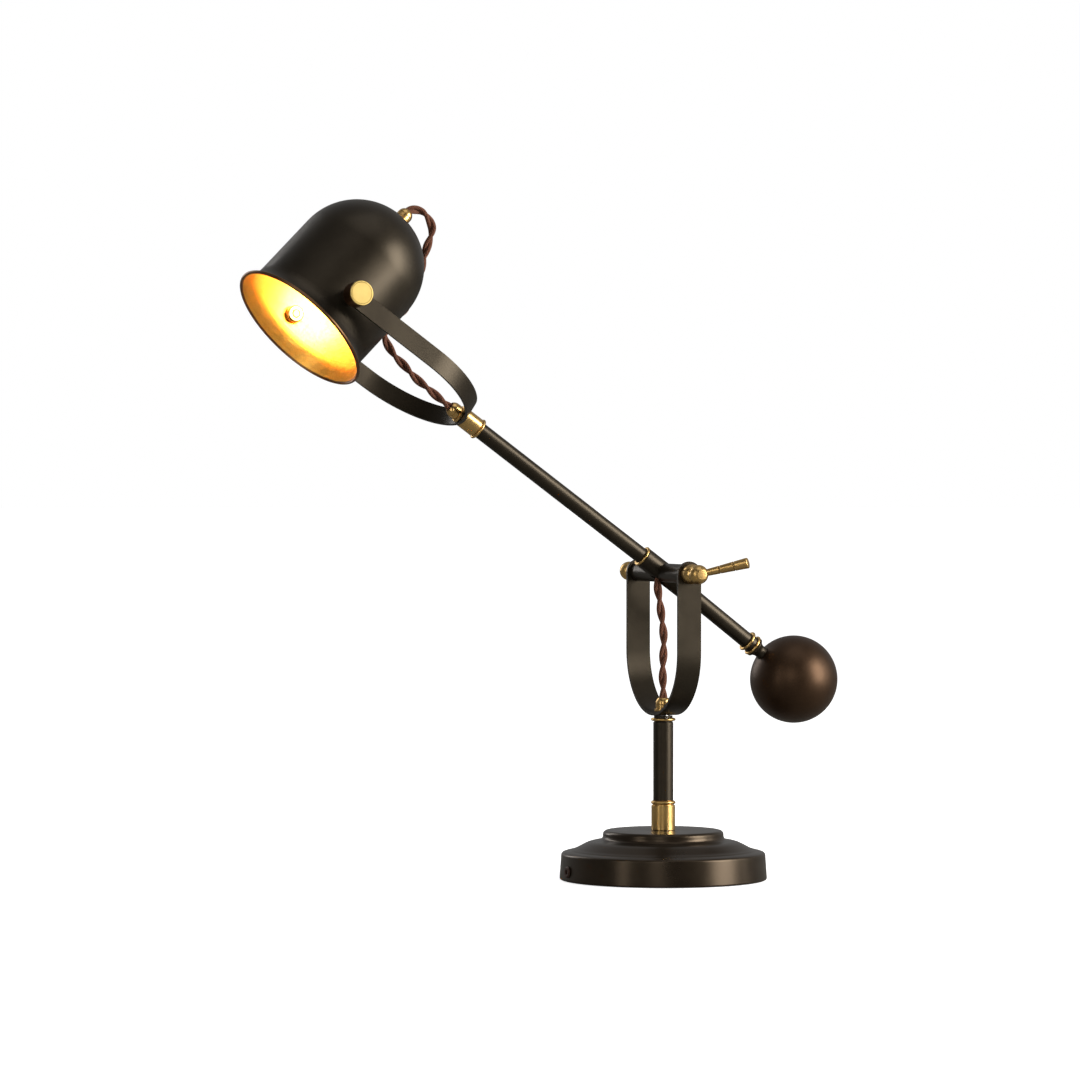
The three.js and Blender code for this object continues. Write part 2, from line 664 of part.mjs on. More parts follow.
// ---------------------------------------------------------------- rear tube and counterweight
const sagAt = (TUBE_SEAT + SLEEVE_HALF) / 2;
const tail = frameAt(arm, [sagAt, 0, 0], { y: rad(TAIL_SAG) });
const fromSag = (reach) => reach - sagAt;
const ballAt = fromSag(TAIL_REACH);
const neckFoot = ballAt - BALL_R;
const beadTwo = neckFoot - 12.2;
const beadOne = beadTwo - 6;
const rearTubeEnd = beadOne + BEAD_T;
const rearTube = pipe(ARM_R, ARM_R - TUBE_WALL, fromSag(TUBE_SEAT), rearTubeEnd, SEG_MID);
add(tail, 'arm_tube_rear', aim(rearTube, 'x'), bronze);
add(tail, 'tail_bead_front', aim(beadRing(BEAD_R, ARM_R + SLIDE, beadOne, BEAD_T), 'x'), brass);
const neckSpigot = ARM_R - TUBE_WALL - SLIDE;
const neckBarrel = ARM_R + 0.6;
const ballSeat = Math.sqrt(BALL_R * BALL_R - NECK_FOOT_R * NECK_FOOT_R);
add(tail, 'tail_neck', aim(turned([
  [0, beadOne - 10],
  [neckSpigot, beadOne - 10],
  [neckSpigot, rearTubeEnd + GAP],
  [neckBarrel, rearTubeEnd + GAP],
  [neckBarrel, beadTwo + BEAD_T + GAP],
  [BEAD_R - 0.9, beadTwo + BEAD_T + GAP],
  [BEAD_R - 0.6, beadTwo + BEAD_T + 1],
  [BEAD_R - 1.6, beadTwo + BEAD_T + 2.2],
  [NECK_FOOT_R + 0.2, beadTwo + BEAD_T + 4],
  [NECK_FOOT_R - 0.6, beadTwo + BEAD_T + 6],
  [NECK_FOOT_R, ballAt - ballSeat - GAP],
  [NECK_STUD_R, ballAt - ballSeat - GAP],
  [NECK_STUD_R, ballAt - ballSeat + NECK_STUD_LEN],
  [0, ballAt - ballSeat + NECK_STUD_LEN],
], SEG_MID), 'x'), bronze);
add(tail, 'tail_bead_rear', aim(beadRing(BEAD_R, neckBarrel + SLIDE, beadTwo, BEAD_T), 'x'), brass);

const mouthHalf = Math.asin(NECK_FOOT_R / BALL_R);
const ballProfile = [
  [0, 1 + NECK_STUD_LEN - ballSeat],
  [NECK_STUD_R + SLIDE, 1 + NECK_STUD_LEN - ballSeat],
  [NECK_STUD_R + SLIDE, -ballSeat],
];
for (let i = 0; i <= BALL_ROWS; i += 1) {
  const a = mouthHalf + (Math.PI - mouthHalf) * i / BALL_ROWS;
  const r = i === BALL_ROWS ? 0 : BALL_R * Math.sin(a);
  ballProfile.push([r, -BALL_R * Math.cos(a)]);
}
add(tail, 'counterweight_ball', aim(turned(ballProfile, BALL_SEG).translate(0, 0, ballAt), 'x'), ballBronze);

// ================================================================ head fork, turns about the arm
const head = frameAt(arm, [-HEAD_REACH, 0, 0], { x: -rad(HEAD_ROLL) });
const headFork = aim(fork({
  radius: HEAD_FORK_R,
  width: HEAD_STRAP_W,
  thickness: HEAD_STRAP_T,
  pivotUp: HEAD_FORK_LEN,
  earBore: STUD_R + SLIDE,
  bendBore: PIPE_R + SLIDE,
}), '-x').translate(HEAD_FORK_LEN, 0, 0);
add(head, 'head_fork', headFork, bronze);

/** Thumb screw standing on z = 0: a thick disc with chamfered edges, and a stud reaching back. */
function thumbScrew(studLen) {
  return turned([
    [0, -studLen],
    [STUD_R, -studLen],
    [STUD_R, 0],
    [DISC_R - 0.6, 0],
    [DISC_R, 0.6],
    [DISC_R, DISC_T - 0.9],
    [DISC_R - 0.9, DISC_T],
    [0, DISC_T],
  ], SEG_MID);
}
const headEarFace = HEAD_FORK_R + GAP;
const pinReach = headEarFace - SHADE_R + SHADE_T + GAP + NUT_T + 1;
for (const [side, name] of [[1, 'far'], [-1, 'near']]) {
  const axis = side > 0 ? 'y' : '-y';
  const screw = aim(thumbScrew(pinReach), axis).translate(0, side * headEarFace, 0);
  add(head, `thumb_screw_${name}`, screw, brass);
}

// ================================================================ shade, tilts in the head fork
// local Z is the shade's axis, mouth down, with the rim's plane at z = -SHADE_PIVOT_IN
const shade = frameAt(head, [0, 0, 0], { y: rad(SHADE_TILT) });
const rimZ = -SHADE_PIVOT_IN;
const domeZ = rimZ + SHADE_BODY_LEN;
const shadeIn = SHADE_R - SHADE_T;

/** One side of the shade's dome, from its equator to the bored apex. */
function domeSide(radius, bore, rows) {
  const stop = Math.acos(bore / radius);
  return Array.from({ length: rows + 1 }, (_, i) => {
    const a = stop * i / rows;
    return [radius * Math.cos(a), domeZ + radius * Math.sin(a)];
  });
}
const flare = (share) => SHADE_R + (SHADE_RIM_R - LIP_R - SHADE_R) * share;
const shadeOutside = [
  [SHADE_RIM_R - LIP_R, rimZ],
  [SHADE_RIM_R - LIP_R * 0.3, rimZ + LIP_R * 0.3],
  [SHADE_RIM_R, rimZ + LIP_R],
  [SHADE_RIM_R - LIP_R * 0.3, rimZ + LIP_R * 1.7],
  [flare(0.92), rimZ + LIP_R * 2.1],
  [flare(0.5), rimZ + FLARE_LEN * 0.38],
  [flare(0.18), rimZ + FLARE_LEN * 0.65],
  [SHADE_R, rimZ + FLARE_LEN],
  ...domeSide(SHADE_R, PIPE_R + SLIDE, DOME_ROWS),
];
const shadeInside = [
  ...domeSide(shadeIn, PIPE_R + SLIDE, DOME_ROWS).reverse(),
  [shadeIn, rimZ + FLARE_LEN],
  [flare(0.18) - SHADE_T, rimZ + FLARE_LEN * 0.65],
  [flare(0.5) - SHADE_T, rimZ + FLARE_LEN * 0.38],
  [flare(0.92) - SHADE_T, rimZ + LIP_R * 1.6],
  [SHADE_RIM_R - LIP_R * 1.7, rimZ + LIP_R * 0.4],
];
add(shade, 'shade', cut(
  turned([...shadeOutside, ...shadeInside], SEG_BIG),
  rod(STUD_R + SLIDE, -SHADE_RIM_R - 1, SHADE_RIM_R + 1, 'y'),
), bronze);

const facet = SHADE_R * (1 - Math.cos(Math.PI / SEG_BIG));
const sagitta = (r) => SHADE_R - Math.sqrt(SHADE_R * SHADE_R - r * r);
for (const [side, name] of [[1, 'far'], [-1, 'near']]) {
  const axis = side > 0 ? 'y' : '-y';
  const spacerFoot = SHADE_R + GAP;
  const spacer = pipe(SPACER_R, STUD_R + SLIDE, spacerFoot, headForkIn - GAP, SEG_SMALL);
  add(shade, `pivot_spacer_${name}`, aim(spacer, axis), bronze);
  const nutFace = shadeIn - sagitta(NUT_R) - facet - GAP;
  const nut = turned([
    [STUD_R + SLIDE, nutFace - NUT_T],
    [NUT_R - 1, nutFace - NUT_T],
    [NUT_R, nutFace - NUT_T + 0.8],
    [NUT_R, nutFace],
    [STUD_R + SLIDE, nutFace],
  ], SEG_SMALL);
  add(shade, `pivot_nut_${name}`, aim(nut, axis), brass);
}

// cord grip on the apex, held from inside by a short pipe and a lock nut
const apexOut = domeZ + SHADE_R;
const apexIn = domeZ + shadeIn;
add(shade, 'shade_cord_grip', cordGrip().translate(0, 0, apexOut + GAP), brass);
const holderTop = apexIn - 6;
const holderFoot = holderTop - HOLDER_LEN;
add(shade, 'shade_pipe', pipe(PIPE_R, PIPE_R - PIPE_WALL, holderTop - 7, apexOut + PIPE_SEAT), steel);
add(shade, 'shade_lock_nut', hexNut(LOCK_NUT_R, holderTop + GAP, holderTop + GAP + LOCK_NUT_T), steel);

// ---------------------------------------------------------------- lampholder and bulb
const capBore = CAP_R + SLIDE;
const holderFloor = holderTop - 5;
add(shade, 'lampholder', turned([
  [PIPE_R + SLIDE, holderTop],
  [HOLDER_R - 4, holderTop],
  [HOLDER_R, holderTop - 4],
  [HOLDER_R, holderFoot + 1],
  [HOLDER_R - 1, holderFoot],
  [capBore, holderFoot],
  [capBore, holderFloor],
  [PIPE_R + SLIDE, holderFloor],
], SEG_MID), ceramic);
add(shade, 'holder_ring', beadRing(HOLDER_R + 4, HOLDER_R + SLIDE, holderFoot + 8, 3), brass);

const capTop = holderFoot + CAP_LEN;
const capFoot = holderFoot - 3;
add(shade, 'bulb_cap', turned([
  [0, capTop + 3],
  [4, capTop + 3],
  [5, capTop],
  [CAP_R - 2, capTop],
  [CAP_R, capTop - 2],
  [CAP_R, capFoot],
  [CAP_R - 1, capFoot],
  [CAP_R - 1, capTop - 3],
  [0, capTop - 3],
], SEG_MID), steel);

const bulbCentre = capFoot - BULB_DROP;
const neckR = CAP_R - 1 - SLIDE;
/** One surface of the bulb's glass from its foot up into the cap. */
function bulbSide(radius, neck) {
  const rows = 6;
  const meet = Math.asin(Math.min(1, (neck + 5) / radius));
  const side = Array.from({ length: rows + 1 }, (_, i) => {
    const a = (Math.PI - meet) * i / rows;
    return [radius * Math.sin(a), bulbCentre - radius * Math.cos(a)];
  });
  side.push([neck + 1.2, capFoot - 5], [neck, capFoot - GAP], [neck, capFoot + 8]);
  return side;
}
add(shade, 'bulb_glass', turned([
  ...bulbSide(BULB_R, neckR),
  ...bulbSide(BULB_R - GLASS_T, neckR - GLASS_T).reverse(),
], SEG_MID), glass);

const filamentR = 5;
const stemGlassTop = capFoot + 7;
add(shade, 'bulb_filament', turned([
  [0, bulbCentre - 12],
  [filamentR, bulbCentre - 10],
  [filamentR, bulbCentre + 8],
  [3, bulbCentre + 12],
  [3, stemGlassTop],
  [0, stemGlassTop],
], 12), glass);

// ================================================================ cords
// the lower cord climbs from the stem's grip into the underside of the hub
const cordFoot = stemGripFoot + PIPE_SEAT + 2 * GAP;
const gripMouth = stemGripFoot + GRIP_TOP;
const slotX = -SLEEVE_R * Math.sin(rad(ARM_PITCH));
const cordTop = PIVOT_Z - studHole - 0.6;
const belowHub = (share, drop) => new THREE.Vector3(slotX * share, 0, PIVOT_Z - SLEEVE_R - drop);
add(root, 'stem_cord', cord([
  new THREE.Vector3(0, 0, cordFoot),
  new THREE.Vector3(0, 0, gripMouth + 3),
  new THREE.Vector3(-0.5, 0, gripMouth + 22),
  belowHub(-0.08, 46),
  belowHub(0.18, 33),
  belowHub(0.62, 16),
  belowHub(0.98, 4),
  new THREE.Vector3(slotX * 1.08, 0, cordTop),
]), fabric);

// the upper cord loops from the dome's grip down the shade's far side to the arm's grip
const shadeAxis = new THREE.Vector3(Math.sin(rad(SHADE_TILT)), 0, Math.cos(rad(SHADE_TILT)));
const besideAxis = new THREE.Vector3(shadeAxis.z, 0, -shadeAxis.x);
/** A point in the head fork's frame: along the shade's axis, out behind it, and sideways. */
const byShade = (along, out, side) => new THREE.Vector3(0, side, 0)
  .addScaledVector(shadeAxis, along)
  .addScaledVector(besideAxis, out);
const domeTip = apexOut + GAP + GRIP_TOP;
const cordOff = SHADE_R + CORD_R + 1.6;
const armTip = HEAD_FORK_LEN - (headGripFoot - forkSeat) - GRIP_TOP;
const headCordRoute = [
  byShade(apexOut + GAP + PIPE_SEAT + 2 * GAP, 0, 0),
  byShade(domeTip + 2, 0, 0),
  byShade(domeTip + 10, 9, 1),
  byShade(domeTip + 8, 24, 3),
  byShade(domeTip - 8, 34, 6),
  byShade(domeZ + SHADE_R * 0.72, cordOff * 0.76, 10),
  byShade(domeZ + SHADE_R * 0.3, cordOff * 0.93, 14),
  byShade(domeZ - SHADE_R * 0.08, cordOff * 0.96, 15),
  byShade(domeZ - SHADE_R * 0.33, cordOff, 12),
  new THREE.Vector3(armTip - 62, 9, 9.8),
  new THREE.Vector3(armTip - 48.5, 6.5, 6.4),
  new THREE.Vector3(armTip - 36, 4, 3.1),
  new THREE.Vector3(armTip - 22.4, 2, 1.7),
  new THREE.Vector3(armTip - 5, 0, 0),
  new THREE.Vector3(armTip + GRIP_TOP - PIPE_SEAT - 2 * GAP, 0, 0),
];
add(head, 'head_cord', cord(headCordRoute), fabric);

export default root;
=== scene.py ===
"""Swing arm desk lamp: bronze paint, antique brass, a leafed shade and twisted fabric cord.

Lengths in the classes are millimetres. Each finished piece is baked into metres, in the part's own frame.
"""

from __future__ import annotations

import logging
import math
from collections.abc import Callable, Sequence
from dataclasses import dataclass, field
from enum import Enum

import bpy
from mathutils import Matrix, Vector


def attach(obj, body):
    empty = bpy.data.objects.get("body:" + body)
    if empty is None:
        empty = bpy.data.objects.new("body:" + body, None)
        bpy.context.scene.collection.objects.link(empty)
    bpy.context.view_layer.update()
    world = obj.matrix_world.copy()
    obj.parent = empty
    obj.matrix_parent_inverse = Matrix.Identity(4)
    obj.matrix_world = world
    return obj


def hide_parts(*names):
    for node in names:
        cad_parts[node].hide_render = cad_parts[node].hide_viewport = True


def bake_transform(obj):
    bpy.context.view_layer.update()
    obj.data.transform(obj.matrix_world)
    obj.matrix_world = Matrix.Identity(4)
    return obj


LOG = logging.getLogger("desk_lamp")
MM = 0.001
WELD = 1e-3
EAR_STEPS = 12
BEND_STEPS = 48

Profile = list[tuple[float, float]]
Colour = tuple[float, float, float]
SocketPlan = tuple[str, str, float | tuple[float, ...]]

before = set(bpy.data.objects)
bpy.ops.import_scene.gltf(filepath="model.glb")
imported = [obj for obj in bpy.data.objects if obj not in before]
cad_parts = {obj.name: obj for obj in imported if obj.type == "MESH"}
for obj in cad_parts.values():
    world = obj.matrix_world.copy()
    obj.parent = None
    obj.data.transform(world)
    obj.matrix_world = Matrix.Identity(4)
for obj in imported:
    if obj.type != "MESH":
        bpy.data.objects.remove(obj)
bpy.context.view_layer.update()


class Aim(Enum):
    """Which way the axis of a turned piece points in its own group."""

    UP = (0.0, "Z")
    RIGHT = (90.0, "Y")
    LEFT = (-90.0, "Y")
    FAR = (-90.0, "X")
    NEAR = (90.0, "X")

    @property
    def matrix(self) -> Matrix:
        """The turn that carries local Z to this direction."""
        degrees, axis = self.value
        return Matrix.Rotation(math.radians(degrees), 4, axis)


class Fastening(Enum):
    """Radii of the rods that hold the lamp together, in millimetres."""

    STUD = 3.2
    LEVER_TANG = 2.2


# --------------------------------------------------------------------------- sizes


@dataclass(frozen=True)
class Sizes:
    """Sizes that several groups share, in millimetres and degrees."""

    pivot_z: float = 256.2
    arm_pitch: float = 35.7
    tail_sag: float = 1.5
    tube_seat: float = 9.0
    tube_wall: float = 1.2
    sleeve_r: float = 8.8
    sleeve_half: float = 22.4
    head_reach: float = 374.2
    head_roll: float = 7.0
    shade_tilt: float = 10.4
    gap: float = 0.3
    slide: float = 0.35
    pipe_r: float = 4.8
    stem_top: float = 131.6
    plug_flange_t: float = 0.5
    stem_ring_t: float = 2.5
    stem_washer_t: float = 1.5
    stem_fork_r: float = 53.5
    stem_strap_w: float = 20.8
    stem_strap_t: float = 2.5
    head_fork_r: float = 68.0
    head_fork_len: float = 153.0
    head_strap_w: float = 15.8
    head_strap_t: float = 2.3
    arm_r: float = 6.7
    bead_r: float = 9.2
    bead_t: float = 2.3
    shade_r: float = 54.7
    shade_t: float = 1.1
    shade_rim_r: float = 62.1
    shade_body_len: float = 74.9
    shade_pivot_in: float = 27.4
    grip_flange_r: float = 7.5
    grip_flange_t: float = 2.2
    grip_r: float = 6.4
    grip_body: float = 4.4
    cord_r: float = 3.3

    @property
    def arm(self) -> Matrix:
        """The arm's group, turned up at the rocking axis."""
        lift = Matrix.Translation((0, 0, self.pivot_z))
        return lift @ Matrix.Rotation(math.radians(self.arm_pitch), 4, "Y")

    @property
    def sag_at(self) -> float:
        """Where the rear tube droops from: the middle of its seat in the sleeve."""
        return (self.tube_seat + self.sleeve_half) / 2

    @property
    def tail(self) -> Matrix:
        """The rear tube's group, drooping a little in its socket."""
        turn = Matrix.Rotation(math.radians(self.tail_sag), 4, "Y")
        return self.arm @ Matrix.Translation((self.sag_at, 0, 0)) @ turn

    @property
    def head(self) -> Matrix:
        """The head fork's group, at the shade's pivot."""
        turn = Matrix.Rotation(-math.radians(self.head_roll), 4, "X")
        return self.arm @ Matrix.Translation((-self.head_reach, 0, 0)) @ turn

    @property
    def shade(self) -> Matrix:
        """The shade's group: local Z is its axis, mouth down."""
        return self.head @ Matrix.Rotation(math.radians(self.shade_tilt), 4, "Y")

    @property
    def stem_ring_foot(self) -> float:
        """Height of the stem ring's lower face, above the plug's flange."""
        return self.stem_top + self.gap + self.plug_flange_t + self.gap

    @property
    def stem_washer_foot(self) -> float:
        """Height of the stem washer's lower face."""
        return self.stem_ring_foot + self.stem_ring_t + self.gap

    @property
    def stem_fork_foot(self) -> float:
        """Height of the outside of the stem fork's bend."""
        return self.stem_washer_foot + self.stem_washer_t + self.gap

    def bend_rise(self, bend_r: float) -> float:
        """How far a cord grip's foot stands off the floor of a bend.

        Args:
            bend_r: Inner radius of the bend.

        Returns:
            The stand-off in millimetres.
        """
        return bend_r - math.sqrt(bend_r**2 - self.grip_flange_r**2)

    @property
    def stem_grip_foot(self) -> float:
        """Height of the stem grip's foot."""
        inner = self.stem_fork_r - self.stem_strap_t
        return self.stem_fork_foot + self.stem_strap_t + self.bend_rise(inner) + self.gap

    @property
    def head_grip_foot(self) -> float:
        """Distance of the head grip's foot from the rocking axis, along the arm."""
        inner = self.head_fork_r - self.head_strap_t
        seat = self.head_reach - self.head_fork_len
        return seat + self.head_strap_t + self.bend_rise(inner) + self.gap

    @property
    def pipe_seat(self) -> float:
        """Depth of the pipe's seat in a cord grip."""
        return self.grip_flange_t + 1.6

    @property
    def grip_top(self) -> float:
        """Height of a cord grip's mouth above its foot."""
        return self.grip_flange_t + self.grip_body + self.grip_r * 0.75

    @property
    def dome_z(self) -> float:
        """Centre of the shade's dome on the shade's axis."""
        return self.shade_body_len - self.shade_pivot_in


SIZES = Sizes()

# --------------------------------------------------------------------------- profiles


def arc(
    centre_r: float, centre_z: float, radius: float, start: float, stop: float, steps: int
) -> Profile:
    """Points of a circular arc in a turning profile.

    Args:
        centre_r: Distance of the arc's centre from the axis.
        centre_z: Height of the arc's centre.
        radius: Radius of the arc.
        start: First angle in degrees, 0 pointing outward and 90 up.
        stop: Last angle in degrees.
        steps: Number of spans.

    Returns:
        The points from start to stop.
    """
    angles = (math.radians(start + (stop - start) * i / steps) for i in range(steps + 1))
    return [(centre_r + radius * math.cos(a), centre_z + radius * math.sin(a)) for a in angles]


def flowing(points: Profile, spans: int = 6) -> Profile:
    """A smooth line through the points of a profile.

    Args:
        points: Points that the line passes through.
        spans: Spans between each two points.

    Returns:
        The denser profile.
    """
    ends = [points[0], *points, points[-1]]
    out: Profile = []
    for p0, p1, p2, p3 in zip(ends, ends[1:], ends[2:], ends[3:]):
        for i in range(spans):
            t = i / spans
            out.append(tuple(
                0.5 * (
                    2 * b + (c - a) * t
                    + (2 * a - 5 * b + 4 * c - d) * t * t
                    + (3 * b - a - 3 * c + d) * t**3
                )
                for a, b, c, d in zip(p0, p1, p2, p3)
            ))
    out.append(points[-1])
    return out


def eased(points: Profile, radius: float, closed: bool = False) -> Profile:
    """Round the corners of a profile.

    Args:
        points: Corner points.
        radius: Wanted cut-back along each side of a corner.
        closed: Whether the last point joins the first.

    Returns:
        The profile with each real corner as a small curve.
    """
    count = len(points)
    tiny = 1e-6
    nearly_straight = math.radians(155)
    most_of_a_side = 0.45
    out: Profile = []
    for i, point in enumerate(points):
        if not closed and i in (0, count - 1):
            out.append(point)
            continue
        here = Vector(point)
        back = Vector(points[i - 1]) - here
        ahead = Vector(points[(i + 1) % count]) - here
        too_short = min(back.length, ahead.length) < tiny
        if too_short or back.angle(ahead) > nearly_straight:
            out.append(point)
            continue
        reach = min(radius, back.length * most_of_a_side, ahead.length * most_of_a_side)
        a = here + back.normalized() * reach
        b = here + ahead.normalized() * reach
        for t in (0.0, 0.33, 0.67, 1.0):
            spot = a * (1 - t) ** 2 + here * (2 * t * (1 - t)) + b * t**2
            out.append((spot.x, spot.y))
    return out


def bead(outer: float, inner: float, foot: float, thickness: float) -> Profile:
    """Profile of a ring with a round outer edge.

    Args:
        outer: Radius over the bead.
        inner: Radius of the bore.
        foot: Height of its lower face.
        thickness: Height of the ring.

    Returns:
        The closed profile.
    """
    half = thickness / 2
    return [(inner, foot), *arc(outer - half, foot + half, half, -90, 90, 8), (inner, foot + thickness)]


# --------------------------------------------------------------------------- bench work


class Bench:
    """Makes meshes the way they are modelled by hand."""

    @staticmethod
    def clear() -> None:
        """Leave edit mode and deselect everything."""
        if bpy.context.object and bpy.context.object.mode != "OBJECT":
            bpy.ops.object.mode_set(mode="OBJECT")
        bpy.ops.object.select_all(action="DESELECT")

    @staticmethod
    def only(piece: bpy.types.Object) -> None:
        """Select one piece and make it active."""
        Bench.clear()
        piece.select_set(True)
        bpy.context.view_layer.objects.active = piece

    @staticmethod
    def apply(piece: bpy.types.Object, modifier: bpy.types.Modifier) -> None:
        """Apply one modifier of a piece."""
        Bench.only(piece)
        bpy.ops.object.modifier_apply(modifier=modifier.name)

    @staticmethod
    def draw_up(rise: float) -> None:
        """Extrude what is selected by a distance along Z."""
        bpy.ops.mesh.extrude_region_move(TRANSFORM_OT_translate={"value": (0, 0, rise)})

    @staticmethod
    def turned(name: str, profile: Profile, segments: int = 64) -> bpy.types.Object:
        """Turn a profile about Z, ring by ring.

        Args:
            name: Name of the piece.
            profile: Radius and height of each ring. A radius of 0 at an end closes on the
                axis, and a profile that stays off the axis joins its two ends.
            segments: Faces round the axis.

        Returns:
            The new piece, in millimetres about the origin.
        """
        tip = profile[0] if profile[0][0] == 0 else None
        rings = profile[1:] if tip else profile
        radius, height = rings[0]
        Bench.clear()
        bpy.ops.mesh.primitive_circle_add(
            vertices=segments, radius=radius, fill_type="NOTHING", location=(0, 0, height)
        )
        piece = bpy.context.object
        bpy.ops.object.transform_apply(location=True, rotation=True, scale=True)
        bpy.ops.object.mode_set(mode="EDIT")
        bpy.ops.mesh.select_mode(type="EDGE")
        bpy.ops.mesh.select_all(action="SELECT")
        last_r, last_z = radius, height
        ends_on_axis = rings[-1][0] == 0
        path = rings[1:] + ([] if ends_on_axis or tip else [rings[0]])
        for ring_r, ring_z in path:
            Bench.draw_up(ring_z - last_z)
            if ring_r == 0:
                bpy.ops.mesh.merge(type="CENTER")
                break
            ratio = ring_r / last_r
            if abs(ratio - 1) > 1e-9:
                bpy.ops.transform.resize(value=(ratio, ratio, 1), center_override=(0, 0, ring_z))
            last_r, last_z = ring_r, ring_z
        if tip:
            bpy.ops.mesh.select_all(action="DESELECT")
            bpy.ops.object.mode_set(mode="OBJECT")
            for edge in piece.data.edges[:segments]:
                edge.select = True
            bpy.ops.object.mode_set(mode="EDIT")
            Bench.draw_up(tip[1] - height)
            bpy.ops.mesh.merge(type="CENTER")
        bpy.ops.mesh.select_all(action="SELECT")
        bpy.ops.mesh.remove_doubles(threshold=WELD)
        bpy.ops.mesh.normals_make_consistent(inside=False)
        bpy.ops.object.mode_set(mode="OBJECT")
        piece.name = name
        return piece

    @staticmethod
    def carve(piece: bpy.types.Object, tool: bpy.types.Object, operation: str = "DIFFERENCE") -> None:
        """Cut or join a piece with another, which is then deleted.

        Args:
            piece: The piece that stays.
            tool: The piece that cuts or is joined.
            operation: DIFFERENCE or UNION.
        """
        boolean = piece.modifiers.new("carve", "BOOLEAN")
        boolean.operation = operation
        boolean.solver = "EXACT"
        boolean.object = tool
        Bench.apply(piece, boolean)
        bpy.data.objects.remove(tool, do_unlink=True)

    @staticmethod
    def drill(
        piece: bpy.types.Object, radius: float, start: Vector, end: Vector, sides: int = 40
    ) -> None:
        """Drill a round hole through a piece.

        Args:
            piece: The piece.
            radius: Radius of the hole.
            start: Where the hole starts on its axis.
            end: Where it ends.
            sides: Faces round the hole.
        """
        along = end - start
        Bench.clear()
        bpy.ops.mesh.primitive_cylinder_add(vertices=sides, radius=radius, depth=along.length)
        tool = bpy.context.object
        turn = Vector((0, 0, 1)).rotation_difference(along).to_matrix().to_4x4()
        Bench.place_raw(tool, Matrix.Translation((start + end) / 2) @ turn)
        Bench.carve(piece, tool)

    @staticmethod
    def soften(piece: bpy.types.Object, width: float, segments: int, angle: float) -> None:
        """Bevel the sharp edges of a piece.

        Args:
            piece: The piece.
            width: Width of the bevel in millimetres.
            segments: Steps across the bevel.
            angle: Smallest edge angle that is bevelled, in degrees.
        """
        bevel = piece.modifiers.new("ease", "BEVEL")
        bevel.width = width
        bevel.segments = segments
        bevel.limit_method = "ANGLE"
        bevel.angle_limit = math.radians(angle)
        bevel.harden_normals = False
        Bench.apply(piece, bevel)

    @staticmethod
    def place_raw(piece: bpy.types.Object, turn: Matrix) -> None:
        """Turn a piece, still in millimetres, and bake the turn."""
        Bench.only(piece)
        piece.matrix_world = turn
        bpy.ops.object.transform_apply(location=True, rotation=True, scale=True)

    @staticmethod
    def place(piece: bpy.types.Object, group: Matrix, smooth: float = 32.0) -> None:
        """Bake a piece into metres at its place, with smooth shading.

        Args:
            piece: The piece, made in millimetres.
            group: Where its group stands, in millimetres.
            smooth: Edges flatter than this many degrees shade smooth.
        """
        Bench.only(piece)
        piece.matrix_world = Matrix.Scale(MM, 4) @ group
        bpy.ops.object.transform_apply(location=True, rotation=True, scale=True)
        bpy.ops.object.shade_smooth_by_angle(angle=math.radians(smooth))
        flat = piece.modifiers.new("even_faces", "WEIGHTED_NORMAL")
        flat.keep_sharp = True
        Bench.apply(piece, flat)


# --------------------------------------------------------------------------- shader groups


def group_shell(
    name: str,
    inputs: Sequence[SocketPlan],
    outputs: Sequence[tuple[str, str]],
) -> tuple[bpy.types.NodeTree, bpy.types.Node, bpy.types.Node]:
    """Start a shader node group with named sockets.

    Args:
        name: Name of the group.
        inputs: Name, socket type and default of each input.
        outputs: Name and socket type of each output.

    Returns:
        The tree, its input node and its output node.
    """
    tree = bpy.data.node_groups.new(name, "ShaderNodeTree")
    for label, kind, value in inputs:
        socket = tree.interface.new_socket(name=label, in_out="INPUT", socket_type=kind)
        socket.default_value = value
    for label, kind in outputs:
        tree.interface.new_socket(name=label, in_out="OUTPUT", socket_type=kind)
    return tree, tree.nodes.new("NodeGroupInput"), tree.nodes.new("NodeGroupOutput")


def add_node(tree: bpy.types.NodeTree, kind: str, **values: object) -> bpy.types.Node:
    """Add a node and set its properties and unlinked inputs.

    Args:
        tree: The node tree.
        kind: Node type.
        values: Property names, or input names with spaces written as underscores.

    Returns:
        The new node.
    """
    node = tree.nodes.new(kind)
    for key, value in values.items():
        if hasattr(node, key):
            setattr(node, key, value)
        else:
            node.inputs[key.replace("_", " ")].default_value = value
    return node


def math_node(
    tree: bpy.types.NodeTree, operation: str, a: object, b: object = 0.5
) -> bpy.types.NodeSocket:
    """Add a Math node.

    Args:
        tree: The node tree.
        operation: Math operation.
        a: First socket or number.
        b: Second socket or number.

    Returns:
        The result socket.
    """
    node = add_node(tree, "ShaderNodeMath", operation=operation)
    for index, value in enumerate((a, b)):
        if isinstance(value, bpy.types.NodeSocket):
            tree.links.new(value, node.inputs[index])
        else:
            node.inputs[index].default_value = value
    return node.outputs[0]


def spread(
    tree: bpy.types.NodeTree,
    value: bpy.types.NodeSocket,
    low: float,
    high: float,
    to_low: float,
    to_high: float,
) -> bpy.types.NodeSocket:
    """Map a value from one span to another, clamped.

    Args:
        tree: The node tree.
        value: Source socket.
        low: Start of the source span.
        high: End of the source span.
        to_low: Start of the target span.
        to_high: End of the target span.

    Returns:
        The result socket.
    """
    node = add_node(tree, "ShaderNodeMapRange")
    node.inputs["From Min"].default_value = low
    node.inputs["From Max"].default_value = high
    node.inputs["To Min"].default_value = to_low
    node.inputs["To Max"].default_value = to_high
    tree.links.new(value, node.inputs["Value"])
    return node.outputs["Result"]


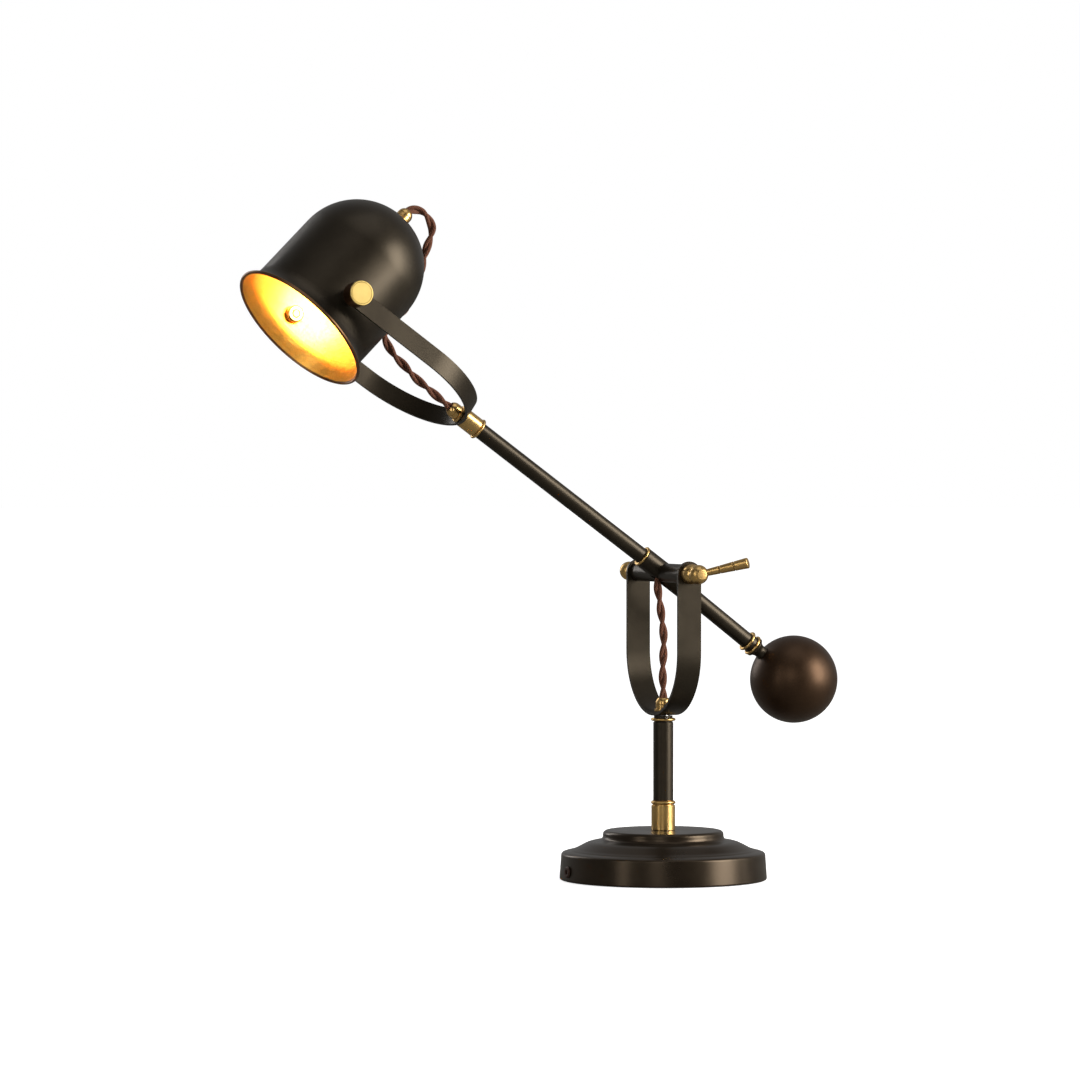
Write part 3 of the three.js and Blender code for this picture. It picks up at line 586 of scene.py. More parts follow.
def mottle_group() -> bpy.types.NodeTree:
    """Cloudy variation of a lacquer or patina, with fine flecks."""
    tree, source, sink = group_shell(
        "mottle",
        [("Cloud Scale", "NodeSocketFloat", 30.0), ("Fleck Scale", "NodeSocketFloat", 900.0)],
        [("Cloud", "NodeSocketFloat"), ("Fleck", "NodeSocketFloat")],
    )
    place = add_node(tree, "ShaderNodeTexCoord")
    for label, detail in (("Cloud", 5.0), ("Fleck", 2.0)):
        noise = add_node(tree, "ShaderNodeTexNoise", Detail=detail, Roughness=0.6)
        tree.links.new(place.outputs["Object"], noise.inputs["Vector"])
        tree.links.new(source.outputs[f"{label} Scale"], noise.inputs["Scale"])
        value = spread(tree, noise.outputs["Fac"], 0.3, 0.7, 0.0, 1.0)
        tree.links.new(value, sink.inputs[label])
    return tree


def wear_group() -> bpy.types.NodeTree:
    """Mask of rubbed edges and of dirt in the hollows, from the shape's own edges."""
    tree, source, sink = group_shell(
        "edge_wear",
        [("Edge Start", "NodeSocketFloat", 0.53), ("Edge End", "NodeSocketFloat", 0.62)],
        [("Edge", "NodeSocketFloat"), ("Hollow", "NodeSocketFloat")],
    )
    shape = add_node(tree, "ShaderNodeNewGeometry")
    place = add_node(tree, "ShaderNodeTexCoord")
    noise = add_node(tree, "ShaderNodeTexNoise", Scale=420.0, Detail=4.0)
    tree.links.new(place.outputs["Object"], noise.inputs["Vector"])
    edge = add_node(tree, "ShaderNodeMapRange")
    tree.links.new(shape.outputs["Pointiness"], edge.inputs["Value"])
    tree.links.new(source.outputs["Edge Start"], edge.inputs["From Min"])
    tree.links.new(source.outputs["Edge End"], edge.inputs["From Max"])
    broken = spread(tree, noise.outputs["Fac"], 0.35, 0.6, 0.35, 1.0)
    tree.links.new(math_node(tree, "MULTIPLY", edge.outputs["Result"], broken), sink.inputs["Edge"])
    hollow = spread(tree, shape.outputs["Pointiness"], 0.5, 0.44, 0.0, 1.0)
    tree.links.new(hollow, sink.inputs["Hollow"])
    return tree


def brushed_group() -> bpy.types.NodeTree:
    """Fine drawn lines along one axis, for turned and drawn metal."""
    tree, source, sink = group_shell(
        "brushed",
        [("Stretch", "NodeSocketVector", (60.0, 60.0, 1400.0))],
        [("Line", "NodeSocketFloat")],
    )
    place = add_node(tree, "ShaderNodeTexCoord")
    scaled = add_node(tree, "ShaderNodeVectorMath", operation="MULTIPLY")
    tree.links.new(place.outputs["Object"], scaled.inputs[0])
    tree.links.new(source.outputs["Stretch"], scaled.inputs[1])
    noise = add_node(tree, "ShaderNodeTexNoise", Scale=1.0, Detail=3.0)
    tree.links.new(scaled.outputs["Vector"], noise.inputs["Vector"])
    tree.links.new(noise.outputs["Fac"], sink.inputs["Line"])
    return tree


def braid_group() -> bpy.types.NodeTree:
    """Braided yarns round a strand, from the strand's own UV map."""
    tree, source, sink = group_shell(
        "braid",
        [("Carriers", "NodeSocketFloat", 8.0), ("Picks", "NodeSocketFloat", 5.0)],
        [("Height", "NodeSocketFloat"), ("Check", "NodeSocketFloat")],
    )
    place = add_node(tree, "ShaderNodeUVMap", uv_map="strand")
    split = add_node(tree, "ShaderNodeSeparateXYZ")
    tree.links.new(place.outputs["UV"], split.inputs[0])
    around = math_node(tree, "MULTIPLY", split.outputs["X"], source.outputs["Carriers"])
    along = math_node(tree, "MULTIPLY", split.outputs["Y"], source.outputs["Picks"])
    waves = []
    for operation in ("ADD", "SUBTRACT"):
        diagonal = math_node(tree, operation, around, along)
        turns = math_node(tree, "MULTIPLY", diagonal, math.tau)
        waves.append(math_node(tree, "SINE", turns))
    height = math_node(tree, "MAXIMUM", waves[0], waves[1])
    tree.links.new(spread(tree, height, -1.0, 1.0, 0.0, 1.0), sink.inputs["Height"])
    check = math_node(tree, "MULTIPLY", waves[0], waves[1])
    tree.links.new(spread(tree, check, -1.0, 1.0, 0.0, 1.0), sink.inputs["Check"])
    return tree


class Effects:
    """The shared shader groups, each built once."""

    def __init__(self) -> None:
        """Build every group."""
        self.mottle = mottle_group()
        self.wear = wear_group()
        self.brushed = brushed_group()
        self.braid = braid_group()


# --------------------------------------------------------------------------- finishes


class Surface:
    """A material being built, with short ways to add nodes."""

    def __init__(self, name: str) -> None:
        """Start a material.

        Args:
            name: Name of the material.
        """
        self.material = bpy.data.materials.new(name)
        self.material.use_nodes = True
        self.tree = self.material.node_tree
        self.shader = self.tree.nodes["Principled BSDF"]

    def set(self, **values: object) -> None:
        """Set plain inputs of the shader, with spaces written as underscores."""
        for key, value in values.items():
            self.shader.inputs[key.replace("_", " ")].default_value = value

    def effect(self, group: bpy.types.NodeTree, **values: object) -> bpy.types.Node:
        """Place a shared group.

        Args:
            group: The node group.
            values: Its inputs, with spaces written as underscores.

        Returns:
            The group node.
        """
        node = add_node(self.tree, "ShaderNodeGroup", node_tree=group)
        for key, value in values.items():
            node.inputs[key.replace("_", " ")].default_value = value
        return node

    def blend(self, mask: bpy.types.NodeSocket, low: object, high: object) -> bpy.types.NodeSocket:
        """Mix two colours by a mask.

        Args:
            mask: Mixing socket.
            low: Colour or socket where the mask is 0.
            high: Colour or socket where the mask is 1.

        Returns:
            The colour socket.
        """
        node = add_node(self.tree, "ShaderNodeMix", data_type="RGBA")
        self.tree.links.new(mask, node.inputs["Factor"])
        for socket, value in ((node.inputs[6], low), (node.inputs[7], high)):
            if isinstance(value, bpy.types.NodeSocket):
                self.tree.links.new(value, socket)
            else:
                socket.default_value = (*value, 1.0)
        return node.outputs[2]

    def link(self, source: bpy.types.NodeSocket, name: str) -> None:
        """Feed one input of the shader."""
        self.tree.links.new(source, self.shader.inputs[name])

    def bump(self, height: bpy.types.NodeSocket, strength: float, distance: float) -> None:
        """Raise the surface by a height.

        Args:
            height: Height socket.
            strength: Strength of the effect.
            distance: Depth in metres.
        """
        node = add_node(self.tree, "ShaderNodeBump", Strength=strength, Distance=distance)
        self.tree.links.new(height, node.inputs["Height"])
        self.link(node.outputs["Normal"], "Normal")


@dataclass(frozen=True)
class BronzePaint:
    """Dark bronze lacquer over metal, satin, slightly cloudy and rubbed at its edges."""

    name: str
    deep: Colour = (0.034, 0.0262, 0.0175)
    pale: Colour = (0.048, 0.0378, 0.0255)
    edge: Colour = (0.16, 0.10, 0.055)
    metallic: float = 0.78
    gloss: tuple[float, float] = (0.34, 0.42)
    wear: float = 0.0

    def build(self, effects: Effects) -> bpy.types.Material:
        """Build the material.

        Args:
            effects: The shared groups.

        Returns:
            The material.
        """
        surface = Surface(self.name)
        surface.set(Metallic=self.metallic, Specular_IOR_Level=0.5)
        cloud = surface.effect(effects.mottle, Cloud_Scale=26.0, Fleck_Scale=1500.0)
        wear = surface.effect(effects.wear, Edge_Start=0.56, Edge_End=0.72)
        colour = surface.blend(cloud.outputs["Cloud"], self.deep, self.pale)
        worn = math_node(surface.tree, "MULTIPLY", wear.outputs["Edge"], self.wear)
        surface.link(surface.blend(worn, colour, self.edge), "Base Color")
        rough = spread(surface.tree, cloud.outputs["Cloud"], 0.0, 1.0, *self.gloss)
        surface.link(rough, "Roughness")
        surface.bump(cloud.outputs["Fleck"], 0.012, 0.00003)
        return surface.material


@dataclass(frozen=True)
class AntiqueBrass:
    """Turned brass with drawn lines, warm patina clouds and dark lacquer in its grooves."""

    name: str
    bright: Colour = (0.72, 0.465, 0.175)
    aged: Colour = (0.52, 0.315, 0.105)
    dark: Colour = (0.06, 0.034, 0.014)
    gloss: tuple[float, float] = (0.24, 0.36)
    aging: float = 0.35

    def build(self, effects: Effects) -> bpy.types.Material:
        """Build the material.

        Args:
            effects: The shared groups.

        Returns:
            The material.
        """
        surface = Surface(self.name)
        surface.set(Metallic=1.0)
        cloud = surface.effect(effects.mottle, Cloud_Scale=90.0, Fleck_Scale=1200.0)
        wear = surface.effect(effects.wear, Edge_Start=0.53, Edge_End=0.62)
        lines = surface.effect(effects.brushed, Stretch=(500.0, 500.0, 500.0))
        patina = math_node(surface.tree, "MULTIPLY", cloud.outputs["Cloud"], self.aging)
        colour = surface.blend(patina, self.bright, self.aged)
        hollow = math_node(surface.tree, "MULTIPLY", wear.outputs["Hollow"], 0.35)
        colour = surface.blend(hollow, colour, self.dark)
        surface.link(surface.blend(wear.outputs["Edge"], colour, self.bright), "Base Color")
        surface.link(spread(surface.tree, cloud.outputs["Cloud"], 0.0, 1.0, *self.gloss), "Roughness")
        surface.bump(lines.outputs["Line"], 0.07, 0.00003)
        return surface.material


@dataclass(frozen=True)
class GoldLeaf:
    """Gold leaf inside the shade: overlapping leaves, fine creases and small bare specks."""

    name: str = "gold_leaf"

    def build(self, effects: Effects) -> bpy.types.Material:
        """Build the material.

        Args:
            effects: The shared groups.

        Returns:
            The material.
        """
        surface = Surface(self.name)
        surface.set(Metallic=0.85)
        tree = surface.tree
        place = add_node(tree, "ShaderNodeTexCoord")
        warp = add_node(tree, "ShaderNodeTexNoise", Scale=70.0, Detail=4.0)
        leaves = add_node(tree, "ShaderNodeTexVoronoi", Scale=75.0, Randomness=1.0)
        creases = add_node(tree, "ShaderNodeTexVoronoi", feature="DISTANCE_TO_EDGE", Scale=190.0)
        tree.links.new(place.outputs["Object"], warp.inputs["Vector"])
        shift = add_node(tree, "ShaderNodeVectorMath", operation="MULTIPLY_ADD")
        tree.links.new(warp.outputs["Color"], shift.inputs[0])
        shift.inputs[1].default_value = (0.012, 0.012, 0.012)
        tree.links.new(place.outputs["Object"], shift.inputs[2])
        for node in (leaves, creases):
            tree.links.new(shift.outputs["Vector"], node.inputs["Vector"])
        cloud = surface.effect(effects.mottle, Cloud_Scale=60.0, Fleck_Scale=420.0)
        warm, pale = (0.76, 0.425, 0.085), (0.84, 0.50, 0.125)
        colour = surface.blend(cloud.outputs["Cloud"], warm, pale)
        torn = spread(tree, leaves.outputs["Distance"], 0.0, 0.02, 0.0, 0.55)
        colour = surface.blend(torn, colour, (0.66, 0.34, 0.055))
        crease = spread(tree, creases.outputs["Distance"], 0.0, 0.05, 1.0, 0.0)
        faint = math_node(tree, "MULTIPLY", crease, 0.32)
        surface.link(surface.blend(faint, colour, (0.52, 0.26, 0.04)), "Base Color")
        surface.link(spread(tree, cloud.outputs["Fleck"], 0.0, 1.0, 0.30, 0.46), "Roughness")
        relief = math_node(tree, "ADD", torn, cloud.outputs["Cloud"])
        surface.bump(relief, 0.22, 0.0004)
        return surface.material


@dataclass(frozen=True)
class BraidedYarn:
    """Brown braided cotton on each strand of the cord, with painted shade in the furrows between its
    yarns.
    """

    name: str = "braided_yarn"

    def build(self, effects: Effects) -> bpy.types.Material:
        """Build the material.

        Args:
            effects: The shared groups.

        Returns:
            The material.
        """
        surface = Surface(self.name)
        surface.set(Metallic=0.0, Roughness=0.85, Sheen_Weight=0.25, Sheen_Roughness=0.5)
        surface.set(Sheen_Tint=(0.75, 0.45, 0.3, 1.0))
        braid = surface.effect(effects.braid, Carriers=6.0, Picks=4.0)
        cloud = surface.effect(effects.mottle, Cloud_Scale=420.0, Fleck_Scale=4200.0)
        # The furrow colour is painted shade between the yarns; the crown colour is the yarn's own brown.
        furrow_shade, crown = (0.034, 0.0095, 0.0050), (0.195, 0.066, 0.033)
        colour = surface.blend(braid.outputs["Height"], furrow_shade, crown)
        shade = math_node(surface.tree, "MULTIPLY", cloud.outputs["Fleck"], 0.35)
        surface.link(surface.blend(shade, colour, (0.11, 0.035, 0.017)), "Base Color")
        both = math_node(surface.tree, "ADD", braid.outputs["Height"], shade)
        surface.bump(both, 0.8, 0.0003)
        return surface.material


@dataclass(frozen=True)
class Glow:
    """A lit surface: frosted bulb or filament."""

    name: str
    colour: Colour
    strength: float
    rough: float = 0.35

    def build(self, effects: Effects) -> bpy.types.Material:
        """Build the material.

        Args:
            effects: The shared groups.

        Returns:
            The material.
        """
        surface = Surface(self.name)
        surface.set(Roughness=self.rough, Emission_Strength=self.strength)
        cloud = surface.effect(effects.mottle, Cloud_Scale=60.0, Fleck_Scale=1500.0)
        dim = tuple(c * 0.92 for c in self.colour)
        tone = surface.blend(cloud.outputs["Cloud"], dim, self.colour)
        surface.link(tone, "Emission Color")
        surface.link(tone, "Base Color")
        return surface.material


@dataclass(frozen=True)
class PlainStock:
    """Everyday stock: two tones clouded together, with grain in its surface."""

    name: str
    low: Colour
    high: Colour
    metallic: float
    gloss: tuple[float, float]
    cloud: float = 60.0
    fleck: float = 900.0
    relief: float = 0.0002
    depth: float = 0.3

    def build(self, effects: Effects) -> bpy.types.Material:
        """Build the material.

        Args:
            effects: The shared groups.

        Returns:
            The material.
        """
        surface = Surface(self.name)
        surface.set(Metallic=self.metallic)
        cloud = surface.effect(effects.mottle, Cloud_Scale=self.cloud, Fleck_Scale=self.fleck)
        mixed = math_node(surface.tree, "ADD", cloud.outputs["Cloud"], cloud.outputs["Fleck"])
        half = math_node(surface.tree, "MULTIPLY", mixed, 0.5)
        surface.link(surface.blend(half, self.low, self.high), "Base Color")
        surface.link(spread(surface.tree, half, 0.0, 1.0, *self.gloss), "Roughness")
        surface.bump(cloud.outputs["Fleck"], self.depth, self.relief)
        return surface.material


class Finishes:
    """Every material of the lamp, built once."""

    def __init__(self, effects: Effects) -> None:
        """Build the materials.

        Args:
            effects: The shared groups.
        """
        self.bronze = BronzePaint("bronze_paint").build(effects)
        self.base_bronze = BronzePaint(
            "bronze_base",
            deep=(0.040, 0.0280, 0.0180),
            pale=(0.058, 0.0420, 0.0275),
            gloss=(0.26, 0.33),
        ).build(effects)
        self.ball_bronze = BronzePaint(
            "bronze_ball",
            deep=(0.050, 0.0265, 0.0135),
            pale=(0.072, 0.0400, 0.0215),
            metallic=0.8,
            gloss=(0.38, 0.45),
        ).build(effects)
        self.lip = BronzePaint(
            "copper_lip",
            deep=(0.13, 0.065, 0.03),
            pale=(0.22, 0.12, 0.058),
            metallic=0.9,
            gloss=(0.3, 0.4),
        ).build(effects)
        self.brass = AntiqueBrass("antique_brass").build(effects)
        self.disc_brass = AntiqueBrass(
            "disc_brass",
            bright=(0.56, 0.42, 0.15),
            aged=(0.47, 0.34, 0.115),
            gloss=(0.46, 0.56),
            aging=0.5,
        ).build(effects)
        # Brown patina with painted shade, for the thumb screws' round sides, which sit in the dome's
        # shadow.
        self.patina = AntiqueBrass(
            "brown_patina_and_shade",
            bright=(0.16, 0.075, 0.032),
            aged=(0.09, 0.040, 0.018),
            gloss=(0.3, 0.42),
        ).build(effects)
        self.leaf = GoldLeaf().build(effects)
        self.yarn = BraidedYarn().build(effects)
        self.bulb = Glow("bulb_glow", (1.0, 0.84, 0.60), 36.0).build(effects)
        self.filament = Glow("filament_glow", (1.0, 0.72, 0.38), 60.0).build(effects)
        self.steel = PlainStock(
            "zinc_steel", (0.35, 0.35, 0.36), (0.62, 0.61, 0.6), 1.0, (0.25, 0.42)
        ).build(effects)
        self.iron = PlainStock(
            "cast_iron",
            (0.03, 0.03, 0.032),
            (0.075, 0.073, 0.07),
            0.7,
            (0.55, 0.8),
            fleck=500.0,
            relief=0.0006,
        ).build(effects)
        self.felt = PlainStock(
            "felt",
            (0.006, 0.006, 0.006),
            (0.03, 0.028, 0.026),
            0.0,
            (0.9, 1.0),
            fleck=1700.0,
            relief=0.0009,
            depth=0.9,
        ).build(effects)
        self.rubber = PlainStock(
            "rubber", (0.028, 0.011, 0.006), (0.075, 0.03, 0.016), 0.0, (0.5, 0.7), relief=0.0001
        ).build(effects)
        self.ceramic = PlainStock(
            "glazed_ceramic", (0.74, 0.70, 0.62), (0.84, 0.80, 0.72), 0.0, (0.12, 0.22), relief=0.00005
        ).build(effects)


# --------------------------------------------------------------------------- groups of the lamp


@dataclass
class Maker:
    """What every group of the lamp shares."""

    finishes: Finishes
    sizes: Sizes = field(default_factory=Sizes)

    def hand_over(
        self,
        piece: bpy.types.Object,
        body: str,
        slot: str,
        material: bpy.types.Material,
        nodes: Sequence[str],
    ) -> bpy.types.Object:
        """Dress a finished piece and hang it on its body.

        Args:
            piece: The piece, in place.
            body: The body it rides on.
            slot: Not used.
            material: Its first material.
            nodes: CAD nodes it stands for.

        Returns:
            The piece.
        """
        if not piece.data.materials:
            piece.data.materials.append(material)
        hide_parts(*nodes)
        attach(piece, body)
        LOG.info("%s: %d faces on %s", piece.name, len(piece.data.polygons), body)
        return piece

    def turn(
        self,
        node: str,
        profile: Profile,
        group: Matrix,
        body: str,
        slot: str,
        material: bpy.types.Material,
        segments: int = 64,
    ) -> bpy.types.Object:
        """Turn a profile, place it, and let it stand for one CAD node.

        Args:
            node: The CAD node.
            profile: The profile.
            group: Where the piece's axis stands, in millimetres.
            body: The body it rides on.
            slot: Not used.
            material: Its material.
            segments: Faces round the axis.

        Returns:
            The piece.
        """
        piece = Bench.turned(f"{node}_fine", profile, segments)
        Bench.place(piece, group)
        return self.hand_over(piece, body, slot, material, [node])

    def grip_profile(self) -> Profile:
        """Profile of a domed cord grip standing on z = 0."""
        s = self.sizes
        bore = s.cord_r + 2 * s.slide
        seat = s.pipe_r + s.slide
        shoulder = s.grip_flange_t + s.grip_body
        stop = math.degrees(math.acos((bore + 0.4) / s.grip_r))
        top = shoulder + s.grip_r * math.sin(math.radians(stop))
        outside = eased([
            (seat, 0),
            (s.grip_flange_r, 0),
            (s.grip_flange_r, s.grip_flange_t),
            (s.grip_r - 0.5, s.grip_flange_t),
            (s.grip_r - 0.5, s.grip_flange_t + 0.7),
            (s.grip_r, s.grip_flange_t + 0.7),
            (s.grip_r, shoulder - 0.6),
        ], 0.45)
        groove = [
            (s.grip_r, shoulder - 0.6),
            (s.grip_r - 0.25, shoulder - 0.4),
            (s.grip_r - 0.25, shoulder - 0.2),
        ]
        dome = arc(0, shoulder, s.grip_r, 0, stop, 10)
        mouth = [(bore + 0.1, top - 0.15), (bore, top - 0.5), (bore, s.pipe_seat), (seat, s.pipe_seat)]
        return [*outside, *groove[1:], *dome, *mouth]

    def fork(
        self, name: str, radius: float, width: float, thickness: float, pivot_up: float
    ) -> bpy.types.Object:
        """Bend a flat strip into a U with rounded ears, its bend down at z = 0.

        Args:
            name: Name of the piece.
            radius: Outer radius of the bend.
            width: Width of the strip.
            thickness: Thickness of the strip.
            pivot_up: Height of the ears' holes.

        Returns:
            The piece, in millimetres.
        """
        half = width / 2
        leg_y = radius - thickness / 2
        narrowest = 0.06
        angles = [math.pi / 2 * i / EAR_STEPS for i in range(EAR_STEPS, -1, -1)]
        heights = [pivot_up + half * math.sin(a) for a in angles]
        widths = [max(math.cos(a), narrowest) for a in angles]
        Bench.clear()
        bpy.ops.mesh.primitive_plane_add(size=1, location=(0, leg_y, heights[0]))
        piece = bpy.context.object
        piece.scale = (width * widths[0], thickness, 1)
        bpy.ops.object.transform_apply(location=True, rotation=True, scale=True)
        bpy.ops.object.mode_set(mode="EDIT")
        bpy.ops.mesh.select_mode(type="EDGE")
        bpy.ops.mesh.select_all(action="SELECT")
        bpy.ops.mesh.delete(type="ONLY_FACE")
        bpy.ops.mesh.select_all(action="SELECT")

        def ear(rows: Sequence[tuple[float, float]], y: float) -> None:
            """Draw the strip through one rounded ear.

            Args:
                rows: Height and share of the full width, row by row.
                y: Middle of the leg.
            """
            for (before, w0), (after, w1) in zip(rows, rows[1:]):
                Bench.draw_up(after - before)
                bpy.ops.transform.resize(value=(w1 / w0, 1, 1), center_override=(0, y, after))

        rows = list(zip(heights, widths))
        ear(rows, leg_y)
        Bench.draw_up(radius - pivot_up)
        bpy.ops.mesh.spin(steps=BEND_STEPS, angle=math.pi, center=(0, 0, radius), axis=(1, 0, 0))
        Bench.draw_up(pivot_up - radius)
        ear(rows[::-1], -leg_y)
        bpy.ops.mesh.select_all(action="SELECT")
        bpy.ops.mesh.remove_doubles(threshold=WELD)
        bpy.ops.mesh.fill_holes(sides=4)
        bpy.ops.mesh.normals_make_consistent(inside=False)
        bpy.ops.object.mode_set(mode="OBJECT")
        piece.name = name
        ear_bore = Fastening.STUD.value + self.sizes.slide
        reach = Vector((0, radius + 1, 0))
        lift = Vector((0, 0, pivot_up))
        Bench.drill(piece, ear_bore, lift - reach, lift + reach)
        pipe_bore = self.sizes.pipe_r + self.sizes.slide
        Bench.drill(piece, pipe_bore, Vector((0, 0, -1)), Vector((0, 0, thickness * 3)))
        Bench.soften(piece, 0.45, 3, 50.0)
        return piece


@dataclass
class RoundBase(Maker):
    """The weighted base and the stem that stands on it."""

    radius: float = 86.5
    wall_top_r: float = 85.2
    wall_h: float = 21.5
    height: float = 41.5
    disc_r: float = 50.4
    pad_t: float = 1.6
    pad_r: float = 79.0
    shell_t: float = 1.8
    gland_z: float = 9.0
    gland_r: float = 3.6
    gland_flange_r: float = 4.9
    collar_r: float = 9.95
    collar_h: float = 20.6
    ring_r: float = 10.3
    stem_r: float = 8.4
    washer_r: float = 7.8
    plug_len: float = 12.0
    tube_sunk: float = 9.0

    def shell(self) -> None:
        """Spin the stepped shell and bore its cord hole."""
        foot = self.pad_t - 1.1
        wall, top, disc, rise = self.wall_top_r, self.height, self.disc_r, self.wall_h
        outside = [
            *arc(self.radius - 1.6, foot + 1.6, 1.6, -80, 0, 6),
            *arc(wall - 2.6, rise - 0.6, 2.6, 0, 62, 8),
            *flowing([
                (wall - 3.2, rise + 2.3),
                (wall - 5.4, rise + 2.75),
                (wall - 7.4, rise + 3.1),
                (wall - 9.3, rise + 3.9),
                (wall - 12.2, rise + 5.0),
                (wall - 16.8, rise + 7.4),
                (wall - 21.5, rise + 9.7),
                (wall - 25.5, rise + 10.9),
                (wall - 29.6, rise + 11.5),
                (disc + 2.3, rise + 12.2),
                (disc + 0.6, rise + 13.5),
                (disc, rise + 15.4),
            ], 5),
            *arc(disc - 3.4, top - 3.4, 3.4, 8, 88, 10),
        ]
        inside = [
            (self.sizes.pipe_r + self.sizes.slide, top),
            (self.sizes.pipe_r + self.sizes.slide, top - self.shell_t),
            (disc - 5.5, top - self.shell_t),
            (disc - 1.8, rise + 11.2),
            (wall - 21.5, rise + 7.4),
            (wall - 12.4, rise + 2.4),
            (wall - self.shell_t, rise - 1),
            (self.radius - self.shell_t - 0.4, foot),
        ]
        piece = Bench.turned("base_shell_fine", [*outside, *inside], 160)
        Bench.clear()
        bpy.ops.mesh.primitive_cylinder_add(
            vertices=32, radius=self.gland_r + 0.3, depth=14, location=(-self.radius, 0, self.gland_z),
            rotation=(0, math.pi / 2, 0),
        )
        Bench.carve(piece, bpy.context.object)
        Bench.place(piece, Matrix.Identity(4), 28.0)
        self.hand_over(piece, "base", "bronze", self.finishes.base_bronze, ["base_shell"])

    def small_parts(self) -> None:
        """Turn the felt, bushing, collar, tube, ring, washers and grip."""
        s = self.sizes
        still = Matrix.Identity(4)
        felt = eased([(0, 0), (self.pad_r, 0), (self.pad_r, self.pad_t), (0, self.pad_t)], 0.5)
        self.turn("base_felt_pad", felt, still, "base", "felt", self.finishes.felt, 128)
        gland = eased([
            (self.gland_r - 1.4, -4),
            (self.gland_flange_r - 0.3, -4),
            (self.gland_flange_r - 0.3, -self.shell_t - 0.9),
            (self.gland_r, -self.shell_t - 0.9),
            (self.gland_r, 0.3),
            (self.gland_flange_r, 0.3),
            (self.gland_flange_r, 1.0),
            (self.gland_r + 0.4, 1.9),
            (self.gland_r - 1.4, 1.9),
        ], 0.35, closed=True)
        at_wall = Matrix.Translation((-(self.radius - 0.5), 0, self.gland_z)) @ Aim.LEFT.matrix
        self.turn("cord_gland", gland, at_wall, "base", "rubber", self.finishes.rubber, 40)
        bore = s.pipe_r + s.slide
        foot = self.height + 0.3
        top = foot + self.collar_h + 3.9
        waist = foot + self.collar_h
        collar = [
            *eased([
                (bore, foot),
                (self.collar_r, foot),
                (self.collar_r, waist),
                (self.collar_r - 1.1, waist),
                (self.collar_r - 1.1, waist + 0.9),
                (self.ring_r - 1.0, waist + 0.9),
            ], 0.35),
            *arc(self.ring_r - 1.35, waist + 2.25, 1.35, -78, 78, 10),
            (self.ring_r - 1.4, top - 0.15),
            (self.stem_r + s.slide + 0.25, top),
            (self.stem_r + s.slide, top - 0.3),
            (self.stem_r + s.slide, foot + self.tube_sunk),
            (bore, foot + self.tube_sunk),
        ]
        self.turn("stem_collar", collar, still, "base", "brass", self.finishes.brass, 72)
        tube = eased([
            (self.stem_r - s.tube_wall, foot + self.tube_sunk + s.gap),
            (self.stem_r, foot + self.tube_sunk + s.gap),
            (self.stem_r, s.stem_top),
            (self.stem_r - s.tube_wall, s.stem_top),
        ], 0.3, closed=True)
        self.turn("stem_tube", tube, still, "base", "bronze", self.finishes.bronze, 72)
        plug_r = self.stem_r - s.tube_wall - s.slide
        flange = s.stem_top + s.gap
        plug = eased([
            (bore, s.stem_top - self.plug_len),
            (plug_r, s.stem_top - self.plug_len),
            (plug_r, flange),
            (self.washer_r, flange),
            (self.washer_r, flange + s.plug_flange_t),
            (bore, flange + s.plug_flange_t),
        ], 0.15, closed=True)
        self.turn("stem_plug", plug, still, "base", "bronze", self.finishes.bronze)
        ring = bead(self.ring_r, bore, s.stem_ring_foot, s.stem_ring_t)
        self.turn("stem_ring", ring, still, "base", "brass", self.finishes.brass)
        washer_foot = s.stem_washer_foot
        washer = eased([
            (bore, washer_foot),
            (self.washer_r, washer_foot),
            (self.washer_r, washer_foot + s.stem_washer_t),
            (bore, washer_foot + s.stem_washer_t),
        ], 0.25, closed=True)
        self.turn("stem_washer", washer, still, "base", "bronze", self.finishes.bronze)
        grip_at = Matrix.Translation((0, 0, s.stem_grip_foot))
        grip = self.grip_profile()
        self.turn("stem_cord_grip", grip, grip_at, "base", "brass", self.finishes.brass, 56)

    def build(self) -> None:
        """Make every piece of the base."""
        self.shell()
        self.small_parts()


